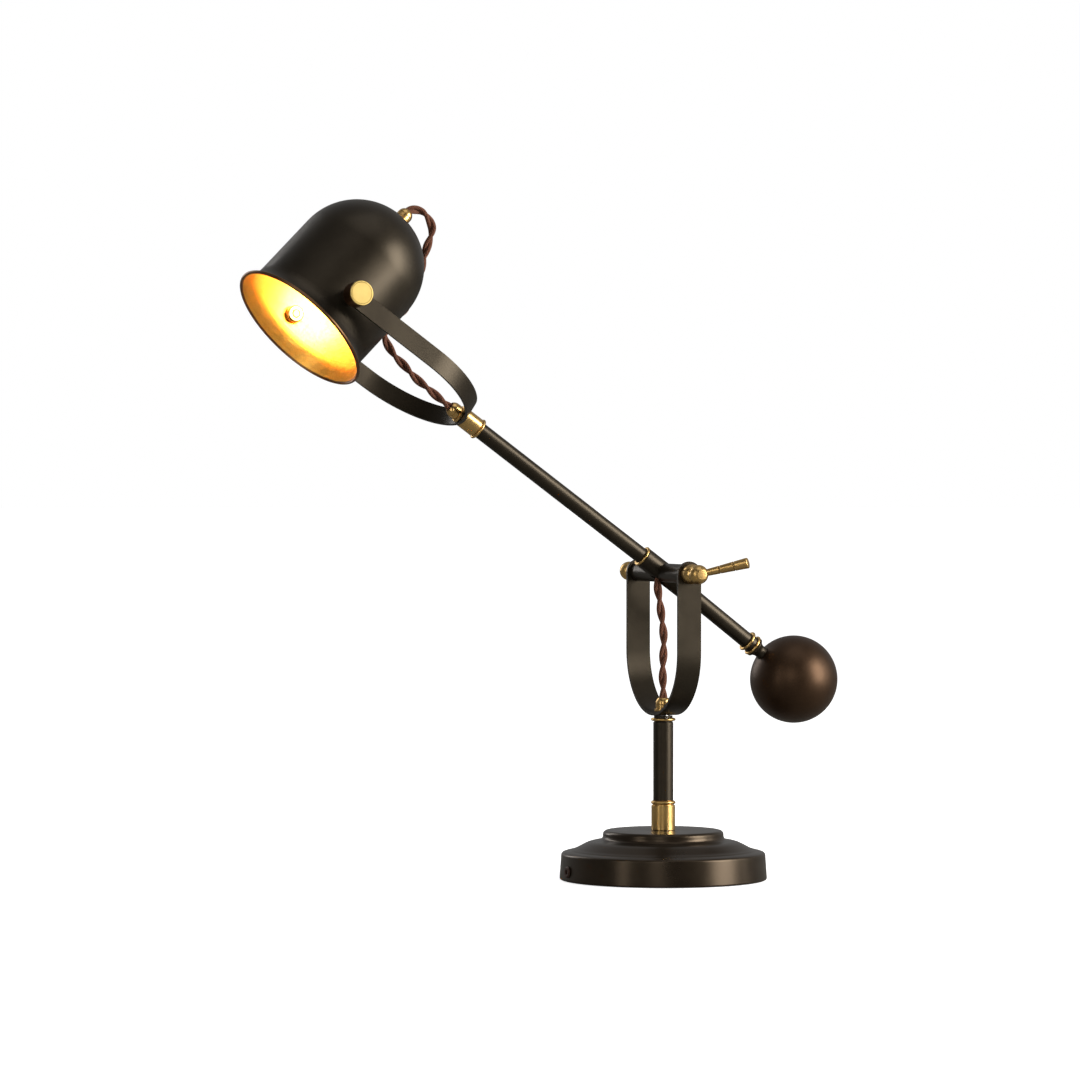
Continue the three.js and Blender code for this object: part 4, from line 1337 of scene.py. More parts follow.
@dataclass
class StemFork(Maker):
    """The fork on the stem, its domed washers and cap, and the clamp."""

    lobe_r: float = 8.2
    lobe_skirt: float = 4.6
    lobe_mouth_r: float = 5.2
    knob_r: float = 8.0
    knob_seat_r: float = 5.0
    nose_r: float = 4.3
    lever_len: float = 35.0
    lever_root_r: float = 2.9
    lever_end_r: float = 4.5
    lever_rise: float = 17.0
    lever_lean: float = 38.0
    lever_hole: tuple[float, float] = (3.0, 14.0)
    stud_bite: float = 13.0

    @property
    def lobe_top(self) -> float:
        """Height of the flat top of a domed washer."""
        return self.lobe_skirt + self.lobe_r * math.sin(math.acos(self.lobe_mouth_r / self.lobe_r))

    @property
    def knob_centre(self) -> float:
        """Distance of a ball's centre from its ear."""
        return self.lobe_top + self.sizes.gap + math.sqrt(self.knob_r**2 - self.knob_seat_r**2)

    def lobe_profile(self) -> Profile:
        """Profile of a domed washer, flat on z = 0."""
        lid = math.degrees(math.acos(self.lobe_mouth_r / self.lobe_r))
        bore = Fastening.STUD.value + self.sizes.slide
        return [
            (bore, 0),
            (self.lobe_r - 0.4, 0),
            (self.lobe_r, 0.4),
            *arc(0, self.lobe_skirt, self.lobe_r, 0, lid, 14),
            (bore, self.lobe_top),
        ]

    def knob_profile(self, stud: float) -> Profile:
        """Profile of a ball with a flat nose and a stud.

        Args:
            stud: Length of the stud behind the ear.

        Returns:
            The profile, ending on the axis.
        """
        low = -math.degrees(math.acos(self.knob_seat_r / self.knob_r))
        high = math.degrees(math.acos(self.nose_r / self.knob_r))
        nose = self.knob_centre + self.knob_r * math.sin(math.radians(high)) + 0.5
        return [
            (0, -stud),
            (Fastening.STUD.value, -stud),
            (Fastening.STUD.value, self.lobe_top + self.sizes.gap),
            *arc(0, self.knob_centre, self.knob_r, low, high, 22),
            (self.nose_r - 0.1, nose - 0.12),
            (self.nose_r - 0.5, nose),
            (0, nose),
        ]

    def build(self) -> None:
        """Make the fork, washers, cap, knob and lever."""
        s = self.sizes
        foot = s.stem_fork_foot
        up = s.pivot_z - foot
        strap = self.fork("stem_fork_fine", s.stem_fork_r, s.stem_strap_w, s.stem_strap_t, up)
        Bench.place(strap, Matrix.Translation((0, 0, foot)), 30.0)
        self.hand_over(strap, "stem_yoke", "bronze", self.finishes.bronze, ["stem_fork"])
        ear = s.stem_fork_r + s.gap
        brass = self.finishes.brass
        for side, aim, label in ((1, Aim.FAR, "far"), (-1, Aim.NEAR, "near")):
            at_ear = Matrix.Translation((0, side * ear, s.pivot_z)) @ aim.matrix
            lobe = self.lobe_profile()
            self.turn(f"pivot_lobe_{label}", lobe, at_ear, "stem_yoke", "brass", brass, 56)
        stud = s.stem_strap_t + 2 * s.gap + self.stud_bite
        at_far = Matrix.Translation((0, ear, s.pivot_z)) @ Aim.FAR.matrix
        self.turn("pivot_cap", self.knob_profile(stud), at_far, "stem_yoke", "brass", brass, 56)
        rise = Matrix.Rotation(-math.radians(self.lever_rise), 4, "Y")
        clamp = Matrix.Translation((0, -ear, s.pivot_z)) @ rise
        lean = math.radians(self.lever_lean)
        direction = Vector((math.cos(lean), -math.sin(lean), 0))
        knob = Bench.turned("clamp_knob_fine", self.knob_profile(stud), 56)
        Bench.place_raw(knob, Aim.NEAR.matrix)
        middle = Vector((0, -self.knob_centre, 0))
        hole_start, hole_end = (middle + direction * depth for depth in self.lever_hole)
        Bench.drill(knob, Fastening.LEVER_TANG.value + s.gap, hole_start, hole_end)
        Bench.place(knob, clamp)
        self.hand_over(knob, "clamp", "brass", brass, ["clamp_knob"])
        swing = Vector((0, 0, 1)).rotation_difference(direction).to_matrix().to_4x4()
        along = clamp @ Matrix.Translation((0, -self.knob_centre, 0)) @ swing
        self.turn("clamp_lever", self.lever_profile(), along, "clamp", "brass", brass, 48)

    def lever_profile(self) -> Profile:
        """Profile of the tapered lever with its two turned grooves."""
        seat = self.knob_r + 0.1
        tip = seat + self.lever_len
        tang = Fastening.LEVER_TANG.value
        tang_foot = self.lever_hole[0] + self.sizes.gap
        tip_round = 0.9
        groove = [
            (-0.02, -1.15), (0.12, -0.95), (0.05, -0.6), (-0.55, -0.4),
            (-0.55, 0.4), (0.1, 0.6), (0.2, 0.95), (0.06, 1.2),
        ]
        profile: Profile = [
            (0, tang_foot),
            (tang, tang_foot),
            (tang, seat - 0.9),
            (self.lever_root_r - 0.3, seat - 0.9),
            (self.lever_root_r, seat - 0.5),
        ]
        for share in (0.3, 0.66):
            z = seat + self.lever_len * share
            r = self.lever_root_r + (self.lever_end_r - self.lever_root_r) * share
            profile += [(r + out, z + up) for out, up in groove]
        profile += arc(self.lever_end_r - tip_round, tip - tip_round, tip_round, 0, 80, 6)
        profile.append((0, tip))
        return profile


@dataclass
class SwingArm(Maker):
    """The arm: hub, tubes, ferrule, rings and counterweight."""

    barrel_r: float = 7.9
    hub_ring_t: float = 2.0
    tail_reach: float = 150.8
    bead_pitch: float = 6.0
    neck_len: float = 12.2
    spigot_len: float = 10.0
    ball_r: float = 36.9
    ball_mouth_r: float = 6.0
    ball_stud_r: float = 4.4
    ball_stud_len: float = 12.0
    ferrule_r: float = 8.2
    ferrule_len: float = 17.5
    ferrule_nose: float = 6.0

    def hub(self) -> None:
        """Join the cross barrel and the sleeve."""
        s = self.sizes
        half = s.stem_fork_r - s.stem_strap_t - s.gap
        sleeve = Bench.turned("arm_hub_fine", eased([
            (0, -s.sleeve_half),
            (s.sleeve_r, -s.sleeve_half),
            (s.sleeve_r, s.sleeve_half),
            (0, s.sleeve_half),
        ], 0.4), 72)
        Bench.place_raw(sleeve, Aim.RIGHT.matrix)
        groove = [(0, 4.2), (-0.35, 4.5), (-0.35, 5.1), (0, 5.4)]
        left = [(self.barrel_r + dr, -half + dz) for dr, dz in groove]
        right = [(r, -z) for r, z in reversed(left)]
        outline = [(0, -half), (self.barrel_r, -half), *left, *right, (self.barrel_r, half), (0, half)]
        barrel = Bench.turned("barrel", eased(outline, 0.3), 72)
        Bench.place_raw(barrel, Aim.FAR.matrix)
        Bench.carve(sleeve, barrel, "UNION")
        along = Vector((s.sleeve_half + 1, 0, 0))
        across = Vector((0, half + 1, 0))
        Bench.drill(sleeve, s.arm_r + s.slide + 0.1, -along, along, 64)
        Bench.drill(sleeve, Fastening.STUD.value + s.slide, -across, across)
        Bench.clear()
        bpy.ops.mesh.primitive_cylinder_add(vertices=48, radius=s.cord_r + 0.9, depth=s.sleeve_r + 1)
        slot = bpy.context.object
        stretch = Matrix.Diagonal((2, 1, 1, 1))
        Bench.place_raw(slot, Matrix.Translation((0, 0, -(s.sleeve_r + 1) / 2)) @ stretch)
        Bench.carve(sleeve, slot)
        Bench.place(sleeve, s.arm, 30.0)
        self.hand_over(sleeve, "arm", "bronze", self.finishes.bronze, ["arm_hub"])

    def front(self) -> None:
        """Make the front tube, rings, ferrule and cord grip."""
        s = self.sizes
        forward = s.arm @ Aim.LEFT.matrix
        rear = s.arm @ Aim.RIGHT.matrix
        ring_foot = s.sleeve_half + s.gap
        brass = self.finishes.brass
        front_ring = bead(s.bead_r, s.arm_r + s.slide, ring_foot, self.hub_ring_t)
        rear_ring = bead(s.bead_r, s.arm_r + 2 * s.slide, ring_foot, self.hub_ring_t)
        self.turn("hub_ring_front", front_ring, forward, "arm", "brass", brass)
        self.turn("hub_ring_rear", rear_ring, rear, "arm", "brass", brass)
        front = s.head_reach - s.head_fork_len - s.gap
        foot = front - self.ferrule_len
        tube_end = front - self.ferrule_nose
        tube = eased([
            (s.arm_r - s.tube_wall, s.tube_seat),
            (s.arm_r, s.tube_seat),
            (s.arm_r, tube_end),
            (s.arm_r - s.tube_wall, tube_end),
        ], 0.3, closed=True)
        self.turn("arm_tube_front", tube, forward, "arm", "bronze", self.finishes.bronze, 72)
        bore = s.pipe_r + s.slide
        ferrule = [
            (s.arm_r + s.slide, foot + 0.2),
            (s.arm_r + s.slide + 0.3, foot),
            *arc(s.bead_r - 1.2, foot + 1.2, 1.2, -85, 85, 10),
            *eased([
                (s.bead_r - 1.3, foot + 2.4),
                (self.ferrule_r - 0.7, foot + 2.5),
                (self.ferrule_r - 0.7, foot + 3.2),
                (self.ferrule_r, foot + 3.2),
                (self.ferrule_r, front),
                (bore, front),
                (bore, tube_end + s.gap),
                (s.arm_r + s.slide, tube_end + s.gap),
            ], 0.3),
        ]
        self.turn("arm_ferrule", ferrule, forward, "arm", "brass", brass, 72)
        grip = s.arm @ Aim.LEFT.matrix @ Matrix.Translation((0, 0, s.head_grip_foot))
        self.turn("head_cord_grip", self.grip_profile(), grip, "arm", "brass", brass, 56)

    def rear(self) -> None:
        """Make the rear tube, its beads, the neck and the counterweight."""
        s = self.sizes
        back = s.tail @ Aim.RIGHT.matrix
        ball_at = self.tail_reach - s.sag_at
        bead_two = ball_at - self.ball_r - self.neck_len
        bead_one = bead_two - self.bead_pitch
        tube_end = bead_one + s.bead_t
        brass = self.finishes.brass
        bronze = self.finishes.bronze
        tube = eased([
            (s.arm_r - s.tube_wall, s.tube_seat - s.sag_at),
            (s.arm_r, s.tube_seat - s.sag_at),
            (s.arm_r, tube_end),
            (s.arm_r - s.tube_wall, tube_end),
        ], 0.3, closed=True)
        self.turn("arm_tube_rear", tube, back, "arm", "bronze", bronze, 72)
        barrel = s.arm_r + 0.6
        for label, inner, foot in (("front", s.arm_r, bead_one), ("rear", barrel, bead_two)):
            ring = bead(s.bead_r, inner + s.slide, foot, s.bead_t)
            self.turn(f"tail_bead_{label}", ring, back, "arm", "brass", brass)
        spigot = s.arm_r - s.tube_wall - s.slide
        spigot_foot = bead_one - self.spigot_len
        seat = math.sqrt(self.ball_r**2 - self.ball_mouth_r**2)
        seat_z = ball_at - seat
        flange = bead_two + s.bead_t
        neck = [
            (0, spigot_foot),
            (spigot, spigot_foot),
            (spigot, tube_end + s.gap),
            (barrel, tube_end + s.gap),
            (barrel, flange + s.gap),
            *arc(s.bead_r - 1.5, flange + 1.2, 0.9, -90, 60, 8),
            *flowing([
                (s.bead_r - 1.9, flange + 2.4),
                (6.3, flange + 3.9),
                (5.5, flange + 5.8),
                (5.5, flange + 8.0),
                (self.ball_mouth_r, seat_z - 0.4),
            ], 4),
            (self.ball_stud_r, seat_z - s.gap),
            (self.ball_stud_r, seat_z + self.ball_stud_len),
            (0, seat_z + self.ball_stud_len),
        ]
        self.turn("tail_neck", neck, back, "arm", "bronze", bronze, 64)
        mouth = math.degrees(math.asin(self.ball_mouth_r / self.ball_r))
        hole_r = self.ball_stud_r + s.slide
        hole_end = seat_z + self.ball_stud_len + 1
        ball = [
            (0, hole_end),
            (hole_r, hole_end),
            (hole_r, seat_z + 0.4),
            (hole_r + s.slide, seat_z),
            *[(r, ball_at - z) for r, z in arc(0, 0, self.ball_r, 90 - mouth, -89, 64)],
            (0, ball_at + self.ball_r),
        ]
        ball_bronze = self.finishes.ball_bronze
        self.turn("counterweight_ball", ball, back, "arm", "ball_bronze", ball_bronze, 128)

    def build(self) -> None:
        """Make every piece of the arm."""
        self.hub()
        self.front()
        self.rear()


@dataclass
class LampHead(Maker):
    """The head fork, thumb screws, shade, lampholder and bulb."""

    disc_r: float = 10.1
    disc_t: float = 14.2
    spacer_r: float = 6.6
    nut_r: float = 7.0
    nut_t: float = 5.0
    holder_r: float = 16.5
    holder_len: float = 34.0
    cap_r: float = 12.6
    cap_len: float = 17.0
    thread_turns: int = 5
    thread_pitch: float = 3.0
    thread_depth: float = 0.9
    bulb_r: float = 24.0
    bulb_drop: float = 29.0
    glass_t: float = 0.8
    coil_turns: int = 6
    coil_pitch: float = 2.6
    lip_r: float = 1.5
    flare_len: float = 15.0

    def fork_and_screws(self) -> None:
        """Bend the head fork and turn its thumb screws."""
        s = self.sizes
        strap = self.fork(
            "head_fork_fine", s.head_fork_r, s.head_strap_w, s.head_strap_t, s.head_fork_len
        )
        turned_back = s.head @ Matrix.Translation((s.head_fork_len, 0, 0)) @ Aim.LEFT.matrix
        Bench.place(strap, turned_back, 30.0)
        self.hand_over(strap, "head_yoke", "bronze", self.finishes.bronze, ["head_fork"])
        ear = s.head_fork_r + s.gap
        reach = ear - s.shade_r + s.shade_t + s.gap + self.nut_t + 1
        face = self.disc_r - 1.25
        screw = [
            (0, -reach),
            (Fastening.STUD.value - 0.5, -reach),
            (Fastening.STUD.value, -reach + 0.5),
            (Fastening.STUD.value, 0),
            *arc(self.disc_r - 0.6, 0.6, 0.6, -90, 0, 4),
            *arc(self.disc_r - 0.7, self.disc_t - 0.7, 0.7, 0, 70, 5),
            (face + 0.1, self.disc_t),
            (face, self.disc_t - 0.28),
            (face - 0.35, self.disc_t - 0.28),
            (face - 0.5, self.disc_t - 0.08),
            (0, self.disc_t - 0.05),
        ]
        for side, aim, label in ((1, Aim.FAR, "far"), (-1, Aim.NEAR, "near")):
            at_ear = s.head @ Matrix.Translation((0, side * ear, 0)) @ aim.matrix
            body = f"thumb_{label}"
            finish = self.finishes.disc_brass
            piece = self.turn(f"thumb_screw_{label}", screw, at_ear, body, "brass", finish, 72)
            self.paint_side_patina_and_shade(piece, at_ear)

    def paint_side_patina_and_shade(self, screw: bpy.types.Object, group: Matrix) -> None:
        """Give a thumb screw's round side its brown patina and painted shade, and leave the face bright.

        Args:
            screw: The finished thumb screw.
            group: Its own frame, in millimetres.
        """
        # The second slot paints the round side dark: brown patina and painted shade.
        screw.data.materials.append(self.finishes.patina)
        back = (Matrix.Scale(MM, 4) @ group).inverted()
        for face in screw.data.polygons:
            middle = back @ face.center
            out = math.hypot(middle.x, middle.y)
            if self.disc_r - 0.3 < out and middle.z < self.disc_t - 0.8:
                face.material_index = 1

    def shade(self) -> None:
        """Spin the shade: painted outside, leafed inside, with a rolled copper lip."""
        s = self.sizes
        rim = -s.shade_pivot_in
        inner = s.shade_r - s.shade_t
        bore = s.pipe_r + s.slide
        lip = s.shade_rim_r - self.lip_r
        out_stop = math.degrees(math.acos(bore / s.shade_r))
        in_stop = math.degrees(math.acos(bore / inner))

        def flare(share: float) -> float:
            """Radius of the flare's outside at a share of its spread."""
            return s.shade_r + (lip - s.shade_r) * share

        outside = [
            *arc(lip, rim + self.lip_r, self.lip_r, -100, 120, 16),
            *flowing([
                (flare(0.80), rim + self.lip_r * 2.4),
                (flare(0.50), rim + self.flare_len * 0.40),
                (flare(0.22), rim + self.flare_len * 0.62),
                (flare(0.06), rim + self.flare_len * 0.85),
                (s.shade_r, rim + self.flare_len * 1.1),
            ], 5),
            (s.shade_r, s.dome_z * 0.5),
            *arc(0, s.dome_z, s.shade_r, 0, out_stop, 40),
        ]
        inside = [
            *reversed(arc(0, s.dome_z, inner, 0, in_stop, 32)),
            (inner, s.dome_z * 0.5),
            *flowing([
                (inner, rim + self.flare_len * 1.1),
                (flare(0.06) - s.shade_t, rim + self.flare_len * 0.85),
                (flare(0.22) - s.shade_t, rim + self.flare_len * 0.62),
                (flare(0.50) - s.shade_t, rim + self.flare_len * 0.40),
                (flare(0.80) - s.shade_t, rim + self.lip_r * 2.0),
            ], 5),
            (lip - self.lip_r * 0.95, rim + self.lip_r * 0.9),
        ]
        piece = Bench.turned("shade_fine", [*outside, *inside], 160)
        across = Vector((0, s.shade_rim_r + 1, 0))
        Bench.drill(piece, Fastening.STUD.value + s.slide, -across, across)
        for material in (self.finishes.bronze, self.finishes.leaf, self.finishes.lip):
            piece.data.materials.append(material)
        for face in piece.data.polygons:
            centre = face.center
            away = Vector((centre.x, centre.y, max(centre.z - s.dome_z, 0)))
            inward = away.dot(face.normal) < 0
            radius = math.hypot(centre.x, centre.y)
            if centre.z < rim + self.lip_r * 2.05 and radius > lip - self.lip_r:
                face.material_index = 2
            elif inward:
                face.material_index = 1
        Bench.place(piece, s.shade, 30.0)
        self.hand_over(piece, "head_shade", "bronze", self.finishes.bronze, ["shade"])

    def fittings(self) -> None:
        """Turn the spacers, nuts, cord grip, lampholder, its ring, the cap and the bulb."""
        s = self.sizes
        body = "head_shade"
        inner = s.shade_r - s.shade_t
        brass = self.finishes.brass
        bore = Fastening.STUD.value + s.slide
        nut_face = inner - (s.shade_r - math.sqrt(s.shade_r**2 - self.nut_r**2)) - 0.25 - s.gap
        for aim, label in ((Aim.FAR, "far"), (Aim.NEAR, "near")):
            group = s.shade @ aim.matrix
            foot, top = s.shade_r + s.gap, s.head_fork_r - s.head_strap_t - s.gap
            spacer = eased([
                (bore, foot),
                (self.spacer_r, foot),
                (self.spacer_r, top - 2.2),
                (self.spacer_r - 0.4, top - 2.0),
                (self.spacer_r - 0.4, top - 1.5),
                (self.spacer_r, top - 1.3),
                (self.spacer_r, top),
                (bore, top),
            ], 0.3, closed=True)
            self.turn(f"pivot_spacer_{label}", spacer, group, body, "bronze", self.finishes.bronze, 48)
            nut = eased([
                (bore, nut_face - self.nut_t),
                (self.nut_r - 1, nut_face - self.nut_t),
                (self.nut_r, nut_face - self.nut_t + 1),
                (self.nut_r, nut_face),
                (bore, nut_face),
            ], 0.4, closed=True)
            self.turn(f"pivot_nut_{label}", nut, group, body, "brass", brass, 48)
        apex = s.dome_z + s.shade_r
        grip = s.shade @ Matrix.Translation((0, 0, apex + s.gap))
        self.turn("shade_cord_grip", self.grip_profile(), grip, body, "brass", brass, 56)
        top = s.dome_z + inner - 6
        foot = top - self.holder_len
        cap_bore = self.cap_r + s.slide
        holder = eased([
            (s.pipe_r + s.slide, top),
            (self.holder_r - 4, top),
            (self.holder_r, top - 4),
            (self.holder_r, foot + 14),
            (self.holder_r - 0.6, foot + 13.5),
            (self.holder_r - 0.6, foot + 12.5),
            (self.holder_r, foot + 12),
            (self.holder_r, foot),
            (cap_bore, foot),
            (cap_bore, top - 5),
            (s.pipe_r + s.slide, top - 5),
        ], 0.8, closed=True)
        self.turn("lampholder", holder, s.shade, body, "ceramic", self.finishes.ceramic, 64)
        ring = bead(self.holder_r + 4, self.holder_r + s.slide, foot + 8, 3)
        self.turn("holder_ring", ring, s.shade, body, "brass", brass, 64)
        self.bulb(foot)

    def bulb(self, foot: float) -> None:
        """Turn the screw cap, the glass and the filament.

        Args:
            foot: Height of the lampholder's mouth.
        """
        s = self.sizes
        body = "head_shade"
        cap_top = foot + self.cap_len
        cap_foot = foot - 3
        cap: Profile = [
            (0, cap_top + 3),
            (4, cap_top + 2.8),
            (4.8, cap_top + 0.3),
            (self.cap_r - 2, cap_top),
        ]
        for i in range(self.thread_turns):
            z = cap_top - 1.8 - i * self.thread_pitch
            cap += [(self.cap_r, z), (self.cap_r - self.thread_depth, z - self.thread_pitch / 2)]
        cap += [
            (self.cap_r, cap_foot),
            (self.cap_r - 1, cap_foot),
            (self.cap_r - 2, cap_top - 3),
            (0, cap_top - 3),
        ]
        self.turn("bulb_cap", cap, s.shade, body, "steel", self.finishes.steel, 64)
        centre = cap_foot - self.bulb_drop
        neck = self.cap_r - 1 - s.slide

        def side(radius: float, throat: float) -> Profile:
            """One surface of the glass, from its tip into the cap."""
            meet = math.degrees(math.asin(min(1.0, (throat + 5) / radius)))
            outermost = radius == self.bulb_r
            round_part = arc(0, centre, radius, -90 if outermost else -89.5, 90 - meet, 30)
            round_part[0] = (0.0 if outermost else 0.2, round_part[0][1])
            shoulder = flowing([
                round_part[-1],
                (throat + 1.6, cap_foot - 5),
                (throat, cap_foot - 0.5),
                (throat, cap_foot + 3),
            ], 4)
            return [*round_part[:-1], *shoulder, (throat, cap_foot + 6)]

        outer = side(self.bulb_r, neck - 0.9)
        inner_side = side(self.bulb_r - self.glass_t, neck - 0.9 - self.glass_t)
        inner_side[0] = (0, inner_side[0][1])
        glass = [*outer, *reversed(inner_side)]
        self.turn("bulb_glass", glass, s.shade, body, "bulb", self.finishes.bulb, 64)
        filament: Profile = [(0, centre - 12), (4.2, centre - 11), (5, centre - 9)]
        for i in range(self.coil_turns):
            z = centre - 8 + i * self.coil_pitch
            filament += [(4.2, z), (5, z + self.coil_pitch / 2)]
        filament += [(3, centre + 12), (3, cap_foot + 7), (0, cap_foot + 7)]
        lit = self.finishes.filament
        self.turn("bulb_filament", filament, s.shade, body, "filament", lit, 24)

    def build(self) -> None:
        """Make every piece of the head."""
        self.fork_and_screws()
        self.shade()
        self.fittings()


# --------------------------------------------------------------------------- cords


def travelled(line: Sequence[Vector]) -> list[float]:
    """Measure how far along a line each of its points lies.

    Args:
        line: Points of the line.

    Returns:
        The distance of each point from the first.
    """
    reach = [0.0]
    for a, b in zip(line, line[1:]):
        reach.append(reach[-1] + (b - a).length)
    return reach


def headings(line: Sequence[Vector]) -> list[Vector]:
    """Find the direction of a line at each of its points.

    Args:
        line: Points of the line.

    Returns:
        A unit vector for each point.
    """
    last = len(line) - 1
    return [(line[min(i + 1, last)] - line[max(i - 1, 0)]).normalized() for i in range(len(line))]


def through(points: Sequence[Vector], step: float) -> list[Vector]:
    """A smooth line through points, with even steps.

    Args:
        points: Points that the line passes through.
        step: Wanted distance between the new points.

    Returns:
        The line's points.
    """
    spans = 24
    ends = [points[0] * 2 - points[1], *points, points[-1] * 2 - points[-2]]
    dense: list[Vector] = []
    for p0, p1, p2, p3 in zip(ends, ends[1:], ends[2:], ends[3:]):
        t0, t1, t2 = (max((b - a).length, 1e-6) ** 0.5 for a, b in ((p0, p1), (p1, p2), (p2, p3)))
        m1 = ((p1 - p0) / t0 - (p2 - p0) / (t0 + t1) + (p2 - p1) / t1) * t1
        m2 = ((p2 - p1) / t1 - (p3 - p1) / (t1 + t2) + (p3 - p2) / t2) * t1
        for i in range(spans):
            t = i / spans
            dense.append(
                p1 * (2 * t**3 - 3 * t**2 + 1) + m1 * (t**3 - 2 * t**2 + t)
                + p2 * (-2 * t**3 + 3 * t**2) + m2 * (t**3 - t**2)
            )
    dense.append(points[-1].copy())
    reach = travelled(dense)
    count = max(2, round(reach[-1] / step))
    line: list[Vector] = []
    at = 0
    for i in range(count + 1):
        want = reach[-1] * i / count
        while at < len(reach) - 2 and reach[at + 1] < want:
            at += 1
        span = max(reach[at + 1] - reach[at], 1e-9)
        line.append(dense[at].lerp(dense[at + 1], min(1.0, (want - reach[at]) / span)))
    return line


@dataclass
class TwistedCord(Maker):
    """A pair of braided strands twisted together."""

    strand_r: float = 1.8
    offset: float = 1.79
    pitch: float = 37.0
    sides: int = 14
    step: float = 1.0

    def wind(self, name: str, line: Sequence[Vector], phase: float) -> bpy.types.Object:
        """Lay two strands round a line.

        Args:
            name: Name of the piece.
            line: Points along the cord's middle, in millimetres.
            phase: Turn of the strands at the start, in degrees.

        Returns:
            The piece, in metres.
        """
        verts: list[Vector] = []
        faces: list[tuple[int, ...]] = []
        uvs: list[tuple[float, float]] = []
        tangents = headings(line)
        normal = tangents[0].orthogonal().normalized()
        normals = []
        for i, tangent in enumerate(tangents):
            if i:
                normal = (tangents[i - 1].rotation_difference(tangent) @ normal).normalized()
            normals.append(normal.copy())
        reach = travelled(line)
        girth = math.tau * self.strand_r
        for strand in (0, 1):
            first = len(verts)
            centres = []
            for spot, tangent, side, along in zip(line, tangents, normals, reach):
                angle = math.radians(phase) + math.pi * strand + math.tau * along / self.pitch
                out = side * math.cos(angle) + tangent.cross(side) * math.sin(angle)
                centres.append(spot + out * self.offset)
            for centre, lead, across in zip(centres, headings(centres), normals):
                side = (across - lead * across.dot(lead)).normalized()
                up = lead.cross(side)
                for k in range(self.sides):
                    turn = math.tau * k / self.sides
                    verts.append(centre + (side * math.cos(turn) + up * math.sin(turn)) * self.strand_r)
            for i in range(len(centres) - 1):
                for k in range(self.sides):
                    nxt = (k + 1) % self.sides
                    a, b = first + i * self.sides, first + (i + 1) * self.sides
                    faces.append((a + k, a + nxt, b + nxt, b + k))
                    low, high = reach[i] / girth, reach[i + 1] / girth
                    u0, u1 = k / self.sides, (k + 1) / self.sides
                    uvs += [(u0, low), (u1, low), (u1, high), (u0, high)]
            last = first + (len(centres) - 1) * self.sides
            faces.append(tuple(first + k for k in reversed(range(self.sides))))
            faces.append(tuple(last + k for k in range(self.sides)))
            uvs += [(0.5, 0.0)] * (2 * self.sides)
        mesh = bpy.data.meshes.new(name)
        mesh.from_pydata([v * MM for v in verts], [], faces)
        layer = mesh.uv_layers.new(name="strand")
        for corner, uv in zip(layer.data, uvs):
            corner.uv = uv
        for face in mesh.polygons:
            face.use_smooth = len(face.vertices) == 4
        mesh.materials.append(self.finishes.yarn)
        piece = bpy.data.objects.new(name, mesh)
        bpy.context.collection.objects.link(piece)
        return piece

    def declare(self, piece: bpy.types.Object, line: Sequence[Vector], node: str) -> None:
        """Hide the CAD node that a cord stands for.

        Args:
            piece: The cord. Not used.
            line: Its middle line, in millimetres. Not used.
            node: The CAD node it stands for.
        """
        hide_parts(node)

    def stem_route(self) -> list[Vector]:
        """Points of the lower cord, from the stem's grip into the hub."""
        s = self.sizes
        foot = s.stem_grip_foot + s.pipe_seat + 2 * s.gap
        mouth = s.stem_grip_foot + s.grip_top
        slot_x = -s.sleeve_r * math.sin(math.radians(s.arm_pitch))
        below = s.pivot_z - s.sleeve_r
        rod_bottom = s.pivot_z - Fastening.STUD.value - s.slide
        return [
            Vector((0, 0, foot)),
            Vector((0, 0, mouth + 3)),
            Vector((-0.5, 0, mouth + 22)),
            Vector((slot_x * -0.08, 0, below - 46)),
            Vector((slot_x * 0.18, 0, below - 33)),
            Vector((slot_x * 0.62, 0, below - 16)),
            Vector((slot_x * 0.98, 0, below - 4)),
            Vector((slot_x * 1.08, 0, rod_bottom - 0.6)),
        ]

    def head_route(self) -> list[Vector]:
        """Points of the upper cord, from the dome's grip down behind the shade to the arm."""
        s = self.sizes
        tilt = math.radians(s.shade_tilt)
        axis = Vector((math.sin(tilt), 0, math.cos(tilt)))
        beside = Vector((axis.z, 0, -axis.x))
        apex = s.dome_z + s.shade_r
        tip = apex + s.gap + s.grip_top
        off = s.shade_r + s.cord_r + 1.6
        arm_tip = s.head_reach - s.head_grip_foot - s.grip_top

        def by_shade(along: float, out: float, side: float) -> Vector:
            """A point along the shade's axis, out behind it, and sideways."""
            return axis * along + beside * out + Vector((0, side, 0))

        route = [
            by_shade(apex + s.gap + s.pipe_seat + 2 * s.gap, 0, 0),
            by_shade(tip + 2, 0, 0),
            by_shade(tip + 10, 9, 1),
            by_shade(tip + 8, 24, 3),
            by_shade(tip - 8, 34, 6),
            by_shade(s.dome_z + s.shade_r * 0.72, off * 0.76, 10),
            by_shade(s.dome_z + s.shade_r * 0.3, off * 0.93, 14),
            by_shade(s.dome_z - s.shade_r * 0.08, off * 0.96, 15),
            by_shade(s.dome_z - s.shade_r * 0.33, off, 12),
            Vector((arm_tip - 62, 9, 9.8)),
            Vector((arm_tip - 48.5, 6.5, 6.4)),
            Vector((arm_tip - 36, 4, 3.1)),
            Vector((arm_tip - 22.4, 2, 1.7)),
            Vector((arm_tip - 5, 0, 0)),
            Vector((arm_tip + s.grip_top - s.pipe_seat - 2 * s.gap, 0, 0)),
        ]
        return [s.head @ point for point in route]

    def build(self) -> None:
        """Make both cords."""
        s = self.sizes
        line = through(self.stem_route(), self.step)
        lower = self.wind("stem_cord_pair", line, 60.0)
        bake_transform(lower)
        self.declare(lower, line, "stem_cord")
        line = through(self.head_route(), self.step)
        upper = self.wind("head_cord_pair", line, 20.0)
        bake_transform(upper)
        self.declare(upper, line, "head_cord")


# --------------------------------------------------------------------------- hidden stock


